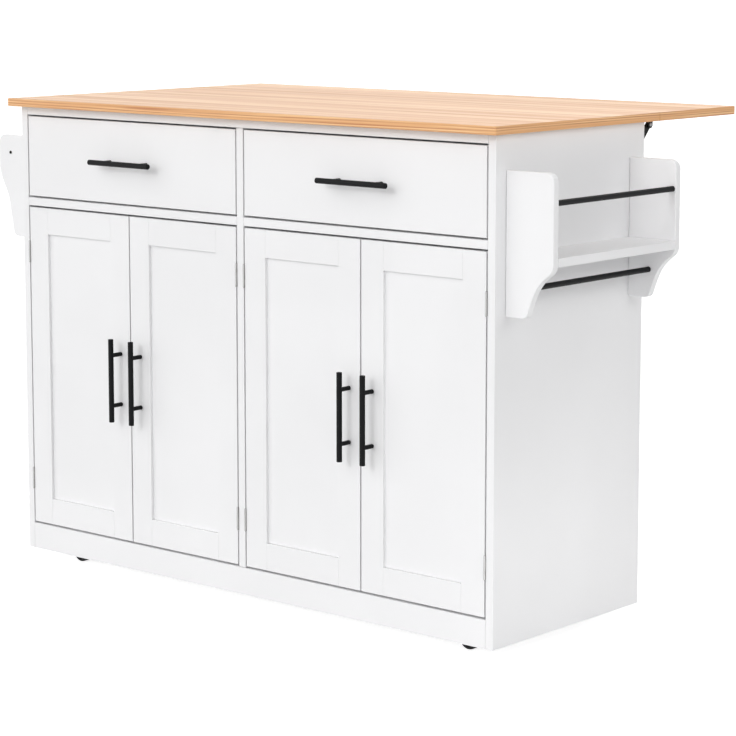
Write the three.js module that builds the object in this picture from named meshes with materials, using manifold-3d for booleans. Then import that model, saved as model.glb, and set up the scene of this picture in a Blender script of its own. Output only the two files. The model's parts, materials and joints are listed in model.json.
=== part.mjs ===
// Drop leaf kitchen island: a white cabinet on castors with an oak top whose rear leaf folds down,
// two drawers, four framed doors, a spice rack on the right and a towel rack on the left.
// Millimetres. X runs along the front to the right, Y from the front to the back, Z up from the floor.
// The leaf is modelled raised, the doors and drawers shut.

import * as THREE from "three";
import { mergeVertices } from "three/addons/utils/BufferGeometryUtils.js";
import Module from "manifold-3d";

// ---------------------------------------------------------------- driving dimensions

// From the floor to the upper face of the worktop
const islandHeight = 908.3;

// Cabinet body
const bodyWidth = 1160;
const bodyDepth = 422;
const boardThickness = 16;
const backThickness = 12;
const floorClearance = 25;
const kickHeight = 51;
const railDepth = 70;
const frontGap = 3;
const shelfHeight = 300;
const shelfSetback = 34;
const edgeEase = 0.8;
// Clearance between two pieces that lie against each other.
const seat = 0.3;
// How far joined shapes run into each other, and how far a cutting shape reaches past its cut.
const joinOverlap = 0.5;
const cutMargin = 1;
// Facets around a wheel, a bar and a pin.
const wheelSides = 24;
const barSides = 16;
const pinSides = 12;

// Doors
const frontThickness = 16;
const doorFrameWidth = 50;
const doorPanelRecess = 5.5;
const doorPanelThickness = 6;
const doorPanelTongue = 4;

// Butt hinges
const hingeLength = 41.5;
const hingeFromDoorEnd = 66;
const hingeBarrelRadius = 1.75;
const hingePinRadius = 0.7;
const hingeAxisProud = 1.4;
const hingeLeafThickness = 1.05;
const hingeLeafWidth = 14;
const hingeClearance = 0.3;
const knuckleGap = 0.3;

// Bar handles
const handleLength = 158;
const handleRadius = 5;
const handleStandOff = 26;
const handlePostSpacing = 96;
const handlePostRadius = 4;
const handleFromDoorEdge = 25;
const handleEase = 0.8;

// Drawers
const drawerFrontHeight = 153;
const drawerBoxDepth = 350;
const drawerSideHeight = 120;
const drawerBoardThickness = 12;
const drawerBottomThickness = 5;
const drawerBottomRise = 8;
const drawerSideClearance = 1.5;
const drawerDeckClearance = 0.5;

// Worktop and leaf
const topThickness = 15;
const topFrontOverhang = 22;
const topSideOverhang = 16;
const topRearOverhang = 24;
const topCornerRadius = 3;
const topEdgeRadius = 1;
const leafDepth = 242;
const leafSeam = 0.6;

// Folding leaf brackets
const bracketFromSide = 93;
const bracketPlateWidth = 18;
const bracketPlateThickness = 2.5;
const bracketWebThickness = 3;
const bracketWebDepth = 8;
const bracketPlaneGap = 0.5;
const bracketEndMargin = 14;
const leafAxisDrop = 6;
const leafPinRadius = 2;
const leafEarRadius = 5;
const stayWallOffset = 12.5;
const stayLeafOffset = 17.5;
const stayWallDrop = 159;
const stayLeafReach = 123;
const linkHalfWidth = 7;
const linkThickness = 3;
const linkPinRadius = 2.5;
const rivetHeadRadius = 3.5;
const rivetHeadThickness = 1.2;
const pinClearance = 0.3;
const screwHoleRadius = 2.2;
const leafScrewFromEdge = 4;
const leafPlateSetback = 3;
// Screw places along the wall plate and along the leaf plate, as shares of their lengths.
const wallScrewShares = [0.2, 0.5, 0.8];
const leafScrewShares = [0.2, 0.5, 0.78];

// Side racks
const rackBoard = 14;
const rackDepth = 98;
const rackFromFront = 27;
const rackLength = 365;
const rackTop = 808;
const rackCornerRadius = 16;
const rackBarRadius = 5;
const rackBarSocket = 6;
const rackBarClearance = 0.3;
const spiceShelfThickness = 15;
const spiceShelfTop = 668;
const spiceSideBottom = 564;
const spiceEdgeBottom = 648;
const spiceFootDepth = 46;
const spiceFootRadius = 8;
const spiceFootPullOut = 12;
const spiceFootPullUp = 44;
const spiceEdgePullIn = 28;
const spiceEdgePullDown = 21;
const spiceEdgeCornerOut = 6;
const spiceEdgeCornerUp = 8;
const spiceRailInset = 7;
const spiceRailHeight = 758;
const spiceTowelBarOut = 43;
const spiceTowelBarHeight = 614;
const towelSideBottom = 610;
const towelEdgeBottom = 745;
const towelWaistDepth = 71;
const towelWaistHeight = 676;
const towelFootDepth = 60;
const towelFootRadius = 8;
const towelWaistPullOut = 4;
const towelWaistPullUp = 26;
const towelEdgePullIn = 3;
const towelEdgePullDown = 30;
const towelBarOut = 64.5;
const towelBarHeight = 773.5;

// Castors
const castorFromFront = 58;
const castorFromRear = 74;
const castorFromSide = 75;
const wheelRadius = 20;
const wheelWidth = 17;
const wheelHubRadius = 8;
const wheelWebRadius = 12;
const wheelHubInset = 1.5;
const treadRound = 3;
const castorTrail = 18;
const axleRadius = 3;
const axleHeadRadius = 4.5;
const axleHeadThickness = 1.5;
const axleClearance = 0.3;
const forkPlate = 2;
const forkSideGap = 1.2;
const forkCrownLength = 30;
const forkCrownThickness = 2.5;
const forkCrownAhead = 3;
const forkCheekDrop = 2;
const forkEndRadius = 7;
const castorPlateSize = 44;
const castorPlateThickness = 2.5;
const racewayRadius = 14;
const racewayHeight = 4;
const kingpinRadius = 4;
const kingpinHeadRadius = 6.5;
const kingpinHeadThickness = 2.5;
const swivelGap = 0.3;

// ---------------------------------------------------------------- places worked out from them

const halfBody = bodyWidth / 2;
const panelBottom = floorClearance;
const topUnderside = islandHeight - topThickness;
const panelTop = topUnderside - seat;
const kickTop = panelBottom + kickHeight;
const doorBottom = kickTop + frontGap;
const railBottom = panelTop - boardThickness;
const drawerTop = railBottom - frontGap;
const drawerBottom = drawerTop - drawerFrontHeight;
const deckTop = drawerBottom - frontGap;
const deckBottom = deckTop - boardThickness;
const doorTop = deckBottom - frontGap;
const doorHeight = doorTop - doorBottom;
const backFace = bodyDepth - backThickness;
const bayWidth = halfBody - boardThickness * 1.5;
const doorWidth = (bayWidth - 3 * frontGap) / 2;
const bayCentre = halfBody - boardThickness - bayWidth / 2;
const seamPlace = bodyDepth + topRearOverhang;
const topBack = seamPlace + leafDepth;
const leafAxisHeight = topUnderside - leafAxisDrop;
const handleFront = handleStandOff + handleRadius;
const castorTop = kickTop - boardThickness;

// ---------------------------------------------------------------- solids and shapes

const wasm = await Module();
wasm.setup();

// A closed geometry as a solid that can be joined and cut.
function toSolid(geometry) {
  const bare = geometry.clone();
  bare.deleteAttribute("normal");
  bare.deleteAttribute("uv");
  const merged = mergeVertices(bare, 1e-4);
  const corners = merged.index.array;
  const kept = [];
  for (let i = 0; i < corners.length; i += 3) {
    const [a, b, c] = [corners[i], corners[i + 1], corners[i + 2]];
    if (a !== b && b !== c && c !== a) kept.push(a, b, c);
  }
  const vertProperties = new Float32Array(merged.attributes.position.array);
  return new wasm.Manifold(new wasm.Mesh({ numProp: 3, vertProperties, triVerts: new Uint32Array(kept) }));
}

function toGeometry(solid) {
  const { vertProperties, triVerts } = solid.getMesh();
  const indexed = new THREE.BufferGeometry();
  indexed.setAttribute("position", new THREE.BufferAttribute(new Float32Array(vertProperties), 3));
  indexed.setIndex(new THREE.BufferAttribute(new Uint32Array(triVerts), 1));
  const geometry = indexed.toNonIndexed();
  geometry.computeVertexNormals();
  return geometry;
}

// Joins the first list of geometries and cuts the second list out of it.
function shaped(joined, removed = []) {
  let solid = toSolid(joined[0]);
  for (const piece of joined.slice(1)) solid = solid.add(toSolid(piece));
  for (const piece of removed) solid = solid.subtract(toSolid(piece));
  return toGeometry(solid);
}

// A plain block given by its low and high corners.
function block([x0, y0, z0], [x1, y1, z1]) {
  const geometry = new THREE.BoxGeometry(x1 - x0, y1 - y0, z1 - z0);
  return geometry.translate((x0 + x1) / 2, (y0 + y1) / 2, (z0 + z1) / 2);
}

// A board with every edge eased, given by its low and high corners.
function board([x0, y0, z0], [x1, y1, z1], ease = edgeEase) {
  const w = (x1 - x0) / 2;
  const d = (y1 - y0) / 2;
  const outline = new THREE.Shape();
  outline.moveTo(-w + ease, -d);
  outline.lineTo(w - ease, -d);
  outline.lineTo(w, -d + ease);
  outline.lineTo(w, d - ease);
  outline.lineTo(w - ease, d);
  outline.lineTo(-w + ease, d);
  outline.lineTo(-w, d - ease);
  outline.lineTo(-w, -d + ease);
  outline.closePath();
  const geometry = eased(outline, z1 - z0, ease, 1);
  return geometry.translate((x0 + x1) / 2, (y0 + y1) / 2, z0);
}

// An outline drawn out to a thickness, with the edges of both faces eased.
function eased(outline, thickness, ease, segments, curveSegments = 6) {
  const geometry = new THREE.ExtrudeGeometry(outline, {
    depth: thickness - 2 * ease,
    bevelThickness: ease,
    bevelSize: ease,
    bevelOffset: -ease,
    bevelSegments: segments,
    curveSegments,
  });
  return geometry.translate(0, 0, ease);
}

function flat(outline, thickness, curveSegments = 6) {
  return new THREE.ExtrudeGeometry(outline, { depth: thickness, bevelEnabled: false, curveSegments });
}

// Stands an outline drawn in X and Z upright, its thickness running back from y.
function uprightAcross(geometry, y, thickness) {
  const turn = new THREE.Matrix4().makeBasis(
    new THREE.Vector3(1, 0, 0),
    new THREE.Vector3(0, 0, 1),
    new THREE.Vector3(0, -1, 0),
  );
  return geometry.applyMatrix4(turn).translate(0, y + thickness, 0);
}

// Stands an outline drawn in Y and Z upright, its thickness running right from x.
function uprightAlong(geometry, x) {
  const turn = new THREE.Matrix4().makeBasis(
    new THREE.Vector3(0, 1, 0),
    new THREE.Vector3(0, 0, 1),
    new THREE.Vector3(1, 0, 0),
  );
  return geometry.applyMatrix4(turn).translate(x, 0, 0);
}

// Round bars along each direction, from one end to the other.
function barX(radius, x0, x1, y, z, sides = barSides) {
  const geometry = new THREE.CylinderGeometry(radius, radius, x1 - x0, sides);
  return geometry.rotateZ(Math.PI / 2).translate((x0 + x1) / 2, y, z);
}

function barY(radius, x, y0, y1, z, sides = barSides) {
  const geometry = new THREE.CylinderGeometry(radius, radius, y1 - y0, sides);
  return geometry.translate(x, (y0 + y1) / 2, z);
}

function barZ(radius, x, y, z0, z1, sides = barSides) {
  const geometry = new THREE.CylinderGeometry(radius, radius, z1 - z0, sides);
  return geometry.rotateX(Math.PI / 2).translate(x, y, (z0 + z1) / 2);
}

function circleHole(x, y, radius) {
  const hole = new THREE.Path();
  hole.absarc(x, y, radius, 0, 2 * Math.PI, true);
  return hole;
}

// ---------------------------------------------------------------- finishes

const whitePaint = { color: 0xf1f1f2, roughness: 0.42, metalness: 0 };
const oak = { color: 0xe6bd92, roughness: 0.5, metalness: 0 };
const blackMetal = { color: 0x17181a, roughness: 0.45, metalness: 0.6 };
const hingeSteel = { color: 0xa9abad, roughness: 0.35, metalness: 0.9 };
const blackSteel = { color: 0x1b1c1e, roughness: 0.5, metalness: 0.7 };
const forkSteel = { color: 0x9b9da0, roughness: 0.4, metalness: 0.9 };
const wheelRubber = { color: 0x1a1a1b, roughness: 0.75, metalness: 0 };
const drawerBoard = { color: 0xeeeeec, roughness: 0.55, metalness: 0 };

function addPiece(parent, name, finish, geometry) {
  const mesh = new THREE.Mesh(geometry, new THREE.MeshStandardMaterial(finish));
  mesh.name = name;
  parent.add(mesh);
  return mesh;
}

// ---------------------------------------------------------------- cabinet body

// The plate, raceway and headed kingpin that a castor's fork turns on.
function makeCastorMount(x, y) {
  const half = castorPlateSize / 2;
  const plateBottom = castorTop - castorPlateThickness;
  const racewayBottom = plateBottom - racewayHeight;
  const crownBottom = racewayBottom - swivelGap - forkCrownThickness;
  const headTop = crownBottom - swivelGap;
  return [
    block([x - half, y - half, plateBottom], [x + half, y + half, castorTop + joinOverlap]),
    barZ(racewayRadius, x, y, racewayBottom, plateBottom + joinOverlap),
    barZ(kingpinRadius, x, y, headTop - kingpinHeadThickness, racewayBottom + joinOverlap, pinSides),
    barZ(kingpinHeadRadius, x, y, headTop - kingpinHeadThickness, headTop, pinSides),
  ];
}

// Where the four castors swivel. Their wheels trail toward the middle of the island.
function castorPlaces() {
  const x = halfBody - castorFromSide;
  const rear = bodyDepth - castorFromRear;
  return [
    { name: "front_left", x: -x, y: castorFromFront, turn: 0 },
    { name: "front_right", x, y: castorFromFront, turn: Math.PI },
    { name: "rear_left", x: -x, y: rear, turn: 0 },
    { name: "rear_right", x, y: rear, turn: Math.PI },
  ];
}

function makeBody() {
  const body = new THREE.Group();
  const inner = halfBody - boardThickness;
  const reach = inner - seat;
  const stile = boardThickness / 2;
  const backOfInside = backFace - seat;
  for (const side of [-1, 1]) {
    const [x0, x1] = side < 0 ? [-halfBody, -inner] : [inner, halfBody];
    const name = side < 0 ? "side_panel_left" : "side_panel_right";
    addPiece(body, name, whitePaint, board([x0, 0, panelBottom], [x1, bodyDepth, panelTop]));
  }
  const bottomBoard = board([-reach, boardThickness + seat, castorTop], [reach, backOfInside, kickTop]);
  const mounts = castorPlaces().flatMap(({ x, y }) => makeCastorMount(x, y));
  addPiece(body, "bottom_panel", whitePaint, shaped([bottomBoard, ...mounts]));
  addPiece(body, "kick_board", whitePaint,
    board([-reach, 0, panelBottom], [reach, boardThickness, kickTop]));
  addPiece(body, "back_panel", whitePaint,
    board([-reach, backFace, panelBottom], [reach, bodyDepth, panelTop]));
  addPiece(body, "top_rail_front", whitePaint,
    board([-reach, 0, railBottom], [reach, railDepth, panelTop]));
  addPiece(body, "top_rail_rear", whitePaint,
    board([-reach, backOfInside - railDepth, railBottom], [reach, backOfInside, panelTop]));
  addPiece(body, "centre_partition", whitePaint,
    board([-stile, 0, kickTop + seat], [stile, backOfInside, railBottom - seat]));
  for (const side of [-1, 1]) {
    const name = side < 0 ? "left" : "right";
    const [x0, x1] = side < 0 ? [-reach, -stile - seat] : [stile + seat, reach];
    addPiece(body, `drawer_deck_${name}`, whitePaint,
      board([x0, 0, deckBottom], [x1, backOfInside, deckTop]));
    const shelfBottom = kickTop + shelfHeight;
    addPiece(body, `shelf_${name}`, whitePaint,
      board([x0, shelfSetback, shelfBottom], [x1, backOfInside, shelfBottom + boardThickness]));
  }
  return body;
}

// ---------------------------------------------------------------- doors, hinges, handles, drawers

// A bar handle lying along X, its back on the plane y = 0 and its bar in front of it.
function makeHandle() {
  const end = handleLength / 2;
  const profile = [
    new THREE.Vector2(0, -end),
    new THREE.Vector2(handleRadius - handleEase, -end),
    new THREE.Vector2(handleRadius, -end + handleEase),
    new THREE.Vector2(handleRadius, end - handleEase),
    new THREE.Vector2(handleRadius - handleEase, end),
    new THREE.Vector2(0, end),
  ];
  const bar = new THREE.LatheGeometry(profile, barSides).rotateZ(-Math.PI / 2);
  const posts = [-1, 1].map((side) =>
    barY(handlePostRadius, (side * handlePostSpacing) / 2, -handleStandOff, -seat, 0, pinSides));
  return shaped([bar.translate(0, -handleStandOff, 0), ...posts]);
}

function addHandle(parent, name, x, z, upright) {
  const handle = addPiece(parent, name, blackMetal, makeHandle());
  handle.position.set(x, 0, z);
  if (upright) handle.rotation.y = Math.PI / 2;
}

// Heights of a hinge barrel's two outer knuckles and the middle one between them.
function knuckles(z) {
  const outer = hingeLength / 3;
  return {
    low: [z, z + outer - knuckleGap / 2],
    middle: [z + outer + knuckleGap / 2, z + hingeLength - outer - knuckleGap / 2],
    high: [z + hingeLength - outer + knuckleGap / 2, z + hingeLength],
  };
}

// One leaf plate of a hinge, on the side of the barrel axis that toward gives, with a root that
// reaches the barrel along each of the given knuckles.
function hingeLeaf(axisX, toward, z, roots, reach) {
  const xs = [hingeClearance / 2, reach].map((out) => axisX + toward * out).sort((a, b) => a - b);
  const start = hingeClearance / 2;
  const plate = block([xs[0], start, z], [xs[1], start + hingeLeafWidth, z + hingeLength]);
  const arms = roots.map(([z0, z1]) =>
    block([xs[0], -hingeAxisProud, z0], [xs[1], start + joinOverlap, z1]));
  return [plate, ...arms];
}

function doorHingeHeights() {
  return [doorBottom + hingeFromDoorEnd, doorTop - hingeFromDoorEnd - hingeLength];
}

// The fixed half of a hinge: leaf on the carcass, the outer knuckles and the pin.
function makeHingeHalf(axisX, carcassSide, z) {
  const { low, middle, high } = knuckles(z);
  const leaf = hingeLeaf(axisX, carcassSide, z, [low, high], hingeClearance / 2 + hingeLeafThickness);
  const barrels = [low, high].map(([z0, z1]) =>
    barZ(hingeBarrelRadius, axisX, -hingeAxisProud, z0, z1, pinSides));
  const pin = barZ(hingePinRadius, axisX, -hingeAxisProud, low[1] - joinOverlap, high[0] + joinOverlap,
    pinSides);
  const room = barZ(hingeBarrelRadius + hingeClearance, axisX, -hingeAxisProud, low[1], high[0], pinSides);
  const cleared = shaped([...leaf, ...barrels], [room]);
  return shaped([cleared, pin]);
}

// A framed door with a recessed panel and the moving half of its two hinges on one edge.
function makeDoor(x0, axisX, hingeSide) {
  const x1 = x0 + doorWidth;
  const outline = new THREE.Shape();
  outline.moveTo(x0, doorBottom);
  outline.lineTo(x1, doorBottom);
  outline.lineTo(x1, doorTop);
  outline.lineTo(x0, doorTop);
  outline.closePath();
  const opening = new THREE.Path();
  opening.moveTo(x0 + doorFrameWidth, doorBottom + doorFrameWidth);
  opening.lineTo(x0 + doorFrameWidth, doorTop - doorFrameWidth);
  opening.lineTo(x1 - doorFrameWidth, doorTop - doorFrameWidth);
  opening.lineTo(x1 - doorFrameWidth, doorBottom + doorFrameWidth);
  opening.closePath();
  outline.holes.push(opening);
  const frame = uprightAcross(eased(outline, frontThickness, edgeEase, 1), 0, frontThickness);
  const inset = doorFrameWidth - doorPanelTongue;
  const panel = block(
    [x0 + inset, doorPanelRecess, doorBottom + inset],
    [x1 - inset, doorPanelRecess + doorPanelThickness, doorTop - inset],
  );
  const leafReach = frontGap / 2 + edgeEase + joinOverlap;
  const halves = doorHingeHeights().flatMap((z) => {
    const { middle } = knuckles(z);
    return [
      ...hingeLeaf(axisX, -hingeSide, z, [middle], leafReach),
      barZ(hingeBarrelRadius, axisX, -hingeAxisProud, middle[0], middle[1], pinSides),
    ];
  });
  const cuts = doorHingeHeights().flatMap((z) => {
    const { low, middle, high } = knuckles(z);
    const bore = hingePinRadius + hingeClearance;
    const room = hingeBarrelRadius + hingeClearance;
    return [
      barZ(bore, axisX, -hingeAxisProud, z - cutMargin, z + hingeLength + cutMargin, pinSides),
      barZ(room, axisX, -hingeAxisProud, low[0] - knuckleGap, middle[0], pinSides),
      barZ(room, axisX, -hingeAxisProud, middle[1], high[1] + knuckleGap, pinSides),
    ];
  });
  return shaped([frame, panel, ...halves], cuts);
}

// Two pairs of doors, numbered from the left, each hinged on its outer edge in its pair.
function addDoors(parent) {
  const handleZ = (doorBottom + doorTop) / 2;
  let number = 0;
  for (const centre of [-bayCentre, bayCentre]) {
    for (const hingeSide of [-1, 1]) {
      number += 1;
      const meeting = centre + (hingeSide * frontGap) / 2;
      const x0 = hingeSide < 0 ? meeting - doorWidth : meeting;
      const axisX = meeting + hingeSide * (doorWidth + frontGap / 2);
      addPiece(parent, `door_${number}`, whitePaint, makeDoor(x0, axisX, hingeSide));
      addHandle(parent, `door_handle_${number}`, meeting + hingeSide * handleFromDoorEdge, handleZ, true);
      doorHingeHeights().forEach((z, level) => {
        const name = `door_hinge_${number}_${level === 0 ? "lower" : "upper"}`;
        addPiece(parent, name, hingeSteel, makeHingeHalf(axisX, hingeSide, z));
      });
    }
  }
}

// An open-topped box whose sides stand on the deck and whose bottom is let in above their foot.
function makeDrawerBox(centre) {
  const half = bayWidth / 2 - drawerSideClearance;
  const front = frontThickness + seat;
  const back = front + drawerBoxDepth;
  const foot = deckTop + drawerDeckClearance;
  const rim = foot + drawerSideHeight;
  const wall = drawerBoardThickness;
  const bottomTop = foot + drawerBottomRise + drawerBottomThickness;
  const outside = board([centre - half, front, foot], [centre + half, back, rim]);
  const inside = block([centre - half + wall, front + wall, bottomTop],
    [centre + half - wall, back - wall, rim + cutMargin]);
  const under = block([centre - half + wall, front + wall, foot - cutMargin],
    [centre + half - wall, back - wall, foot + drawerBottomRise]);
  return shaped([outside], [inside, under]);
}

function addDrawers(parent) {
  for (const side of [-1, 1]) {
    const name = side < 0 ? "left" : "right";
    const centre = side * bayCentre;
    const half = bayWidth / 2 - frontGap;
    addPiece(parent, `drawer_front_${name}`, whitePaint,
      board([centre - half, 0, drawerBottom], [centre + half, frontThickness, drawerTop]));
    addPiece(parent, `drawer_box_${name}`, drawerBoard, makeDrawerBox(centre));
    addHandle(parent, `drawer_handle_${name}`, centre, (drawerBottom + drawerTop) / 2, false);
  }
}

// ---------------------------------------------------------------- worktop, leaf and brackets

// The whole table top with its round corners and eased edges, before it is parted at the seam.
function makeWholeTop() {
  const x = halfBody + topSideOverhang;
  const outline = new THREE.Shape();
  const r = topCornerRadius;
  outline.moveTo(-x + r, -topFrontOverhang);
  outline.absarc(x - r, -topFrontOverhang + r, r, -Math.PI / 2, 0, false);
  outline.absarc(x - r, topBack - r, r, 0, Math.PI / 2, false);
  outline.absarc(-x + r, topBack - r, r, Math.PI / 2, Math.PI, false);
  outline.absarc(-x + r, -topFrontOverhang + r, r, Math.PI, 1.5 * Math.PI, false);
  return eased(outline, topThickness, topEdgeRadius, 2, 5).translate(0, 0, topUnderside);
}

function addTops(parent) {
  const far = bodyWidth + topBack;
  const rear = block([-far, seamPlace - leafSeam / 2, 0], [far, far, 2 * panelTop]);
  const front = block([-far, -far, 0], [far, seamPlace + leafSeam / 2, 2 * panelTop]);
  addPiece(parent, "worktop", oak, shaped([makeWholeTop()], [rear]));
  addPiece(parent, "drop_leaf", oak, shaped([makeWholeTop()], [front]));
}

// Places in a bracket, seen from its side: u back and v up from the axis that the leaf folds about.
const bracketWall = -topRearOverhang;
const wallPivot = { u: bracketWall + stayWallOffset, v: -stayWallDrop };
const leafPivot = { u: stayLeafReach, v: leafAxisDrop - stayLeafOffset };
const stayRun = leafPivot.u - wallPivot.u;
const stayRise = leafPivot.v - wallPivot.v;
const stayLength = Math.hypot(stayRun, stayRise);
// Raised, the two links lie end to end from pivot to pivot. Folded, both stand upright, and the
// longer one reaches past the shorter one by the height between the two pivots.
const foldedStep = stayWallDrop - stayLeafReach;
const lowerLinkLength = (stayLength + foldedStep) / 2;
const upperLinkLength = (stayLength - foldedStep) / 2;

// The four flat planes that the bracket's parts lie in, side by side across it.
const wallWebPlane = -bracketPlateWidth / 2;
const lowerLinkPlane = wallWebPlane + bracketWebThickness + bracketPlaneGap;
const upperLinkPlane = lowerLinkPlane + linkThickness + bracketPlaneGap;
const leafWebPlane = upperLinkPlane + linkThickness + bracketPlaneGap;

// The two brackets mirror each other, so a reach across one runs the other way on the other.
function acrossBracket(side, from, to) {
  const ends = [side * from, side * to].sort((a, b) => a - b);
  return { start: ends[0], thickness: ends[1] - ends[0] };
}

function bracketWeb(outline, side, from, thickness) {
  const place = acrossBracket(side, from, from + thickness);
  return uprightAlong(flat(outline, place.thickness, 5), place.start);
}

function bracketPin(side, radius, from, to, { u, v }) {
  const place = acrossBracket(side, from, to);
  return barX(radius, place.start, place.start + place.thickness, u, v, pinSides);
}

// The arm screwed to the cabinet's back: a flat plate with a web along one edge, which carries the
// leaf's fold axis at its top and the lower link's pivot near its foot.
function makeWallArm(side) {
  const plateBack = bracketWall + seat;
  const foot = wallPivot.v - bracketEndMargin;
  const head = leafEarRadius;
  const webEdge = plateBack + bracketWebDepth;
  const boss = Math.PI / 3;
  const neck = 0.28 * Math.PI;
  const outline = new THREE.Shape();
  outline.moveTo(plateBack, foot);
  outline.lineTo(webEdge, foot);
  outline.absarc(wallPivot.u, wallPivot.v, linkHalfWidth, -boss, boss, false);
  outline.lineTo(webEdge, wallPivot.v + 2 * bracketEndMargin);
  outline.lineTo(webEdge, -2 * bracketEndMargin);
  outline.absarc(0, 0, leafEarRadius, -neck, Math.PI / 2, false);
  outline.lineTo(plateBack, head);
  outline.closePath();
  const web = bracketWeb(outline, side, wallWebPlane, bracketWebThickness);
  const half = bracketPlateWidth / 2;
  const plateFront = plateBack + bracketPlateThickness;
  const plate = block([-half, plateBack, foot], [half, plateFront, head]);
  const pinStart = wallWebPlane + joinOverlap;
  const foldPinEnd = leafWebPlane + bracketWebThickness;
  const stayPinEnd = lowerLinkPlane + linkThickness + bracketPlaneGap / 2;
  const foldPin = bracketPin(side, leafPinRadius, pinStart, foldPinEnd, { u: 0, v: 0 });
  const stayPin = bracketPin(side, linkPinRadius, pinStart, stayPinEnd, wallPivot);
  const x = side * (bracketWebThickness / 2 + screwHoleRadius);
  const holes = wallScrewShares.map((share) => {
    const v = foot + share * (head - foot);
    return barY(screwHoleRadius, x, plateBack - cutMargin, plateFront + cutMargin, v, pinSides);
  });
  return shaped([web, plate, foldPin, stayPin], holes);
}

// The arm screwed under the leaf: a plate with a web that holds the upper link's pivot.
function makeLeafArm(side) {
  const under = leafAxisDrop - seat;
  const webEdge = under - bracketWebDepth;
  const start = leafEarRadius + leafPlateSetback;
  const end = leafPivot.u + bracketEndMargin;
  const outline = new THREE.Shape();
  outline.absarc(0, 0, leafEarRadius, Math.PI / 2, 1.75 * Math.PI, false);
  outline.lineTo(start + bracketWebDepth, webEdge);
  outline.lineTo(leafPivot.u - linkHalfWidth, webEdge);
  outline.absarc(leafPivot.u, leafPivot.v, linkHalfWidth, Math.PI, 2 * Math.PI, false);
  outline.lineTo(leafPivot.u + linkHalfWidth, webEdge);
  outline.lineTo(end, webEdge);
  outline.lineTo(end, under);
  outline.lineTo(start, under);
  outline.closePath();
  const web = bracketWeb(outline, side, leafWebPlane, bracketWebThickness);
  const half = bracketPlateWidth / 2;
  const plateUnder = under - bracketPlateThickness;
  const plate = block([-half, start, plateUnder], [half, end, under]);
  const pinStart = upperLinkPlane + pinClearance;
  const webEnd = leafWebPlane + bracketWebThickness;
  const stayPin = bracketPin(side, linkPinRadius, pinStart, leafWebPlane + joinOverlap, leafPivot);
  const headEnd = webEnd + rivetHeadThickness;
  const head = bracketPin(side, rivetHeadRadius, webEnd - joinOverlap, headEnd, leafPivot);
  const foldHole = bracketPin(side, leafPinRadius + pinClearance, leafWebPlane - cutMargin,
    webEnd + cutMargin, { u: 0, v: 0 });
  const x = -side * (half - leafScrewFromEdge);
  const holes = leafScrewShares.map((share) => {
    const u = start + share * (end - start);
    return barZ(screwHoleRadius, x, u, plateUnder - cutMargin, under + cutMargin, pinSides);
  });
  return shaped([web, plate, stayPin, head], [foldHole, ...holes]);
}

// A flat link with round ends, from one pivot toward another place, with a pivot hole at its start
// and a rivet head at its far end.
function makeLink(side, pivot, target, length, plane, headOutside) {
  const angle = Math.atan2(target.v - pivot.v, target.u - pivot.u);
  const end = { u: pivot.u + length * Math.cos(angle), v: pivot.v + length * Math.sin(angle) };
  const outline = new THREE.Shape();
  outline.absarc(pivot.u, pivot.v, linkHalfWidth, angle + Math.PI / 2, angle + 1.5 * Math.PI, false);
  outline.absarc(end.u, end.v, linkHalfWidth, angle - Math.PI / 2, angle + Math.PI / 2, false);
  outline.closePath();
  outline.holes.push(circleHole(pivot.u, pivot.v, linkPinRadius + pinClearance));
  const bar = bracketWeb(outline, side, plane, linkThickness);
  const headEnds = headOutside
    ? [plane + linkThickness - joinOverlap, plane + linkThickness + rivetHeadThickness]
    : [plane - rivetHeadThickness, plane + joinOverlap];
  return shaped([bar, bracketPin(side, rivetHeadRadius, headEnds[0], headEnds[1], end)]);
}

function addBrackets(parent) {
  for (const side of [-1, 1]) {
    const name = side < 0 ? "left" : "right";
    const bracket = new THREE.Group();
    bracket.position.set(side * (halfBody - bracketFromSide), seamPlace, leafAxisHeight);
    addPiece(bracket, `bracket_wall_arm_${name}`, blackSteel, makeWallArm(side));
    addPiece(bracket, `bracket_leaf_arm_${name}`, blackSteel, makeLeafArm(side));
    addPiece(bracket, `bracket_lower_link_${name}`, blackSteel,
      makeLink(side, wallPivot, leafPivot, lowerLinkLength, lowerLinkPlane, false));
    addPiece(bracket, `bracket_upper_link_${name}`, blackSteel,
      makeLink(side, leafPivot, wallPivot, upperLinkLength, upperLinkPlane, true));
    parent.add(bracket);
  }
}

// ---------------------------------------------------------------- side racks

// Side board of the spice rack, drawn with X out from the cabinet and Z as height.
function spiceSideOutline() {
  const outline = new THREE.Shape();
  const r = rackCornerRadius;
  const corner = { out: rackDepth - spiceEdgeCornerOut, height: spiceEdgeBottom - spiceEdgeCornerOut };
  outline.moveTo(0, spiceSideBottom);
  outline.lineTo(spiceFootDepth - 1.5 * spiceFootRadius, spiceSideBottom);
  outline.quadraticCurveTo(spiceFootDepth - 0.4 * spiceFootRadius, spiceSideBottom,
    spiceFootDepth, spiceSideBottom + spiceFootRadius);
  outline.bezierCurveTo(
    spiceFootDepth + spiceFootPullOut, spiceSideBottom + spiceFootPullUp,
    corner.out - spiceEdgePullIn, corner.height - spiceEdgePullDown,
    corner.out, corner.height,
  );
  outline.quadraticCurveTo(rackDepth, spiceEdgeBottom, rackDepth, spiceEdgeBottom + spiceEdgeCornerUp);
  outline.lineTo(rackDepth, rackTop - r);
  outline.absarc(rackDepth - r, rackTop - r, r, 0, Math.PI / 2, false);
  outline.lineTo(0, rackTop);
  outline.closePath();
  return outline;
}

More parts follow.
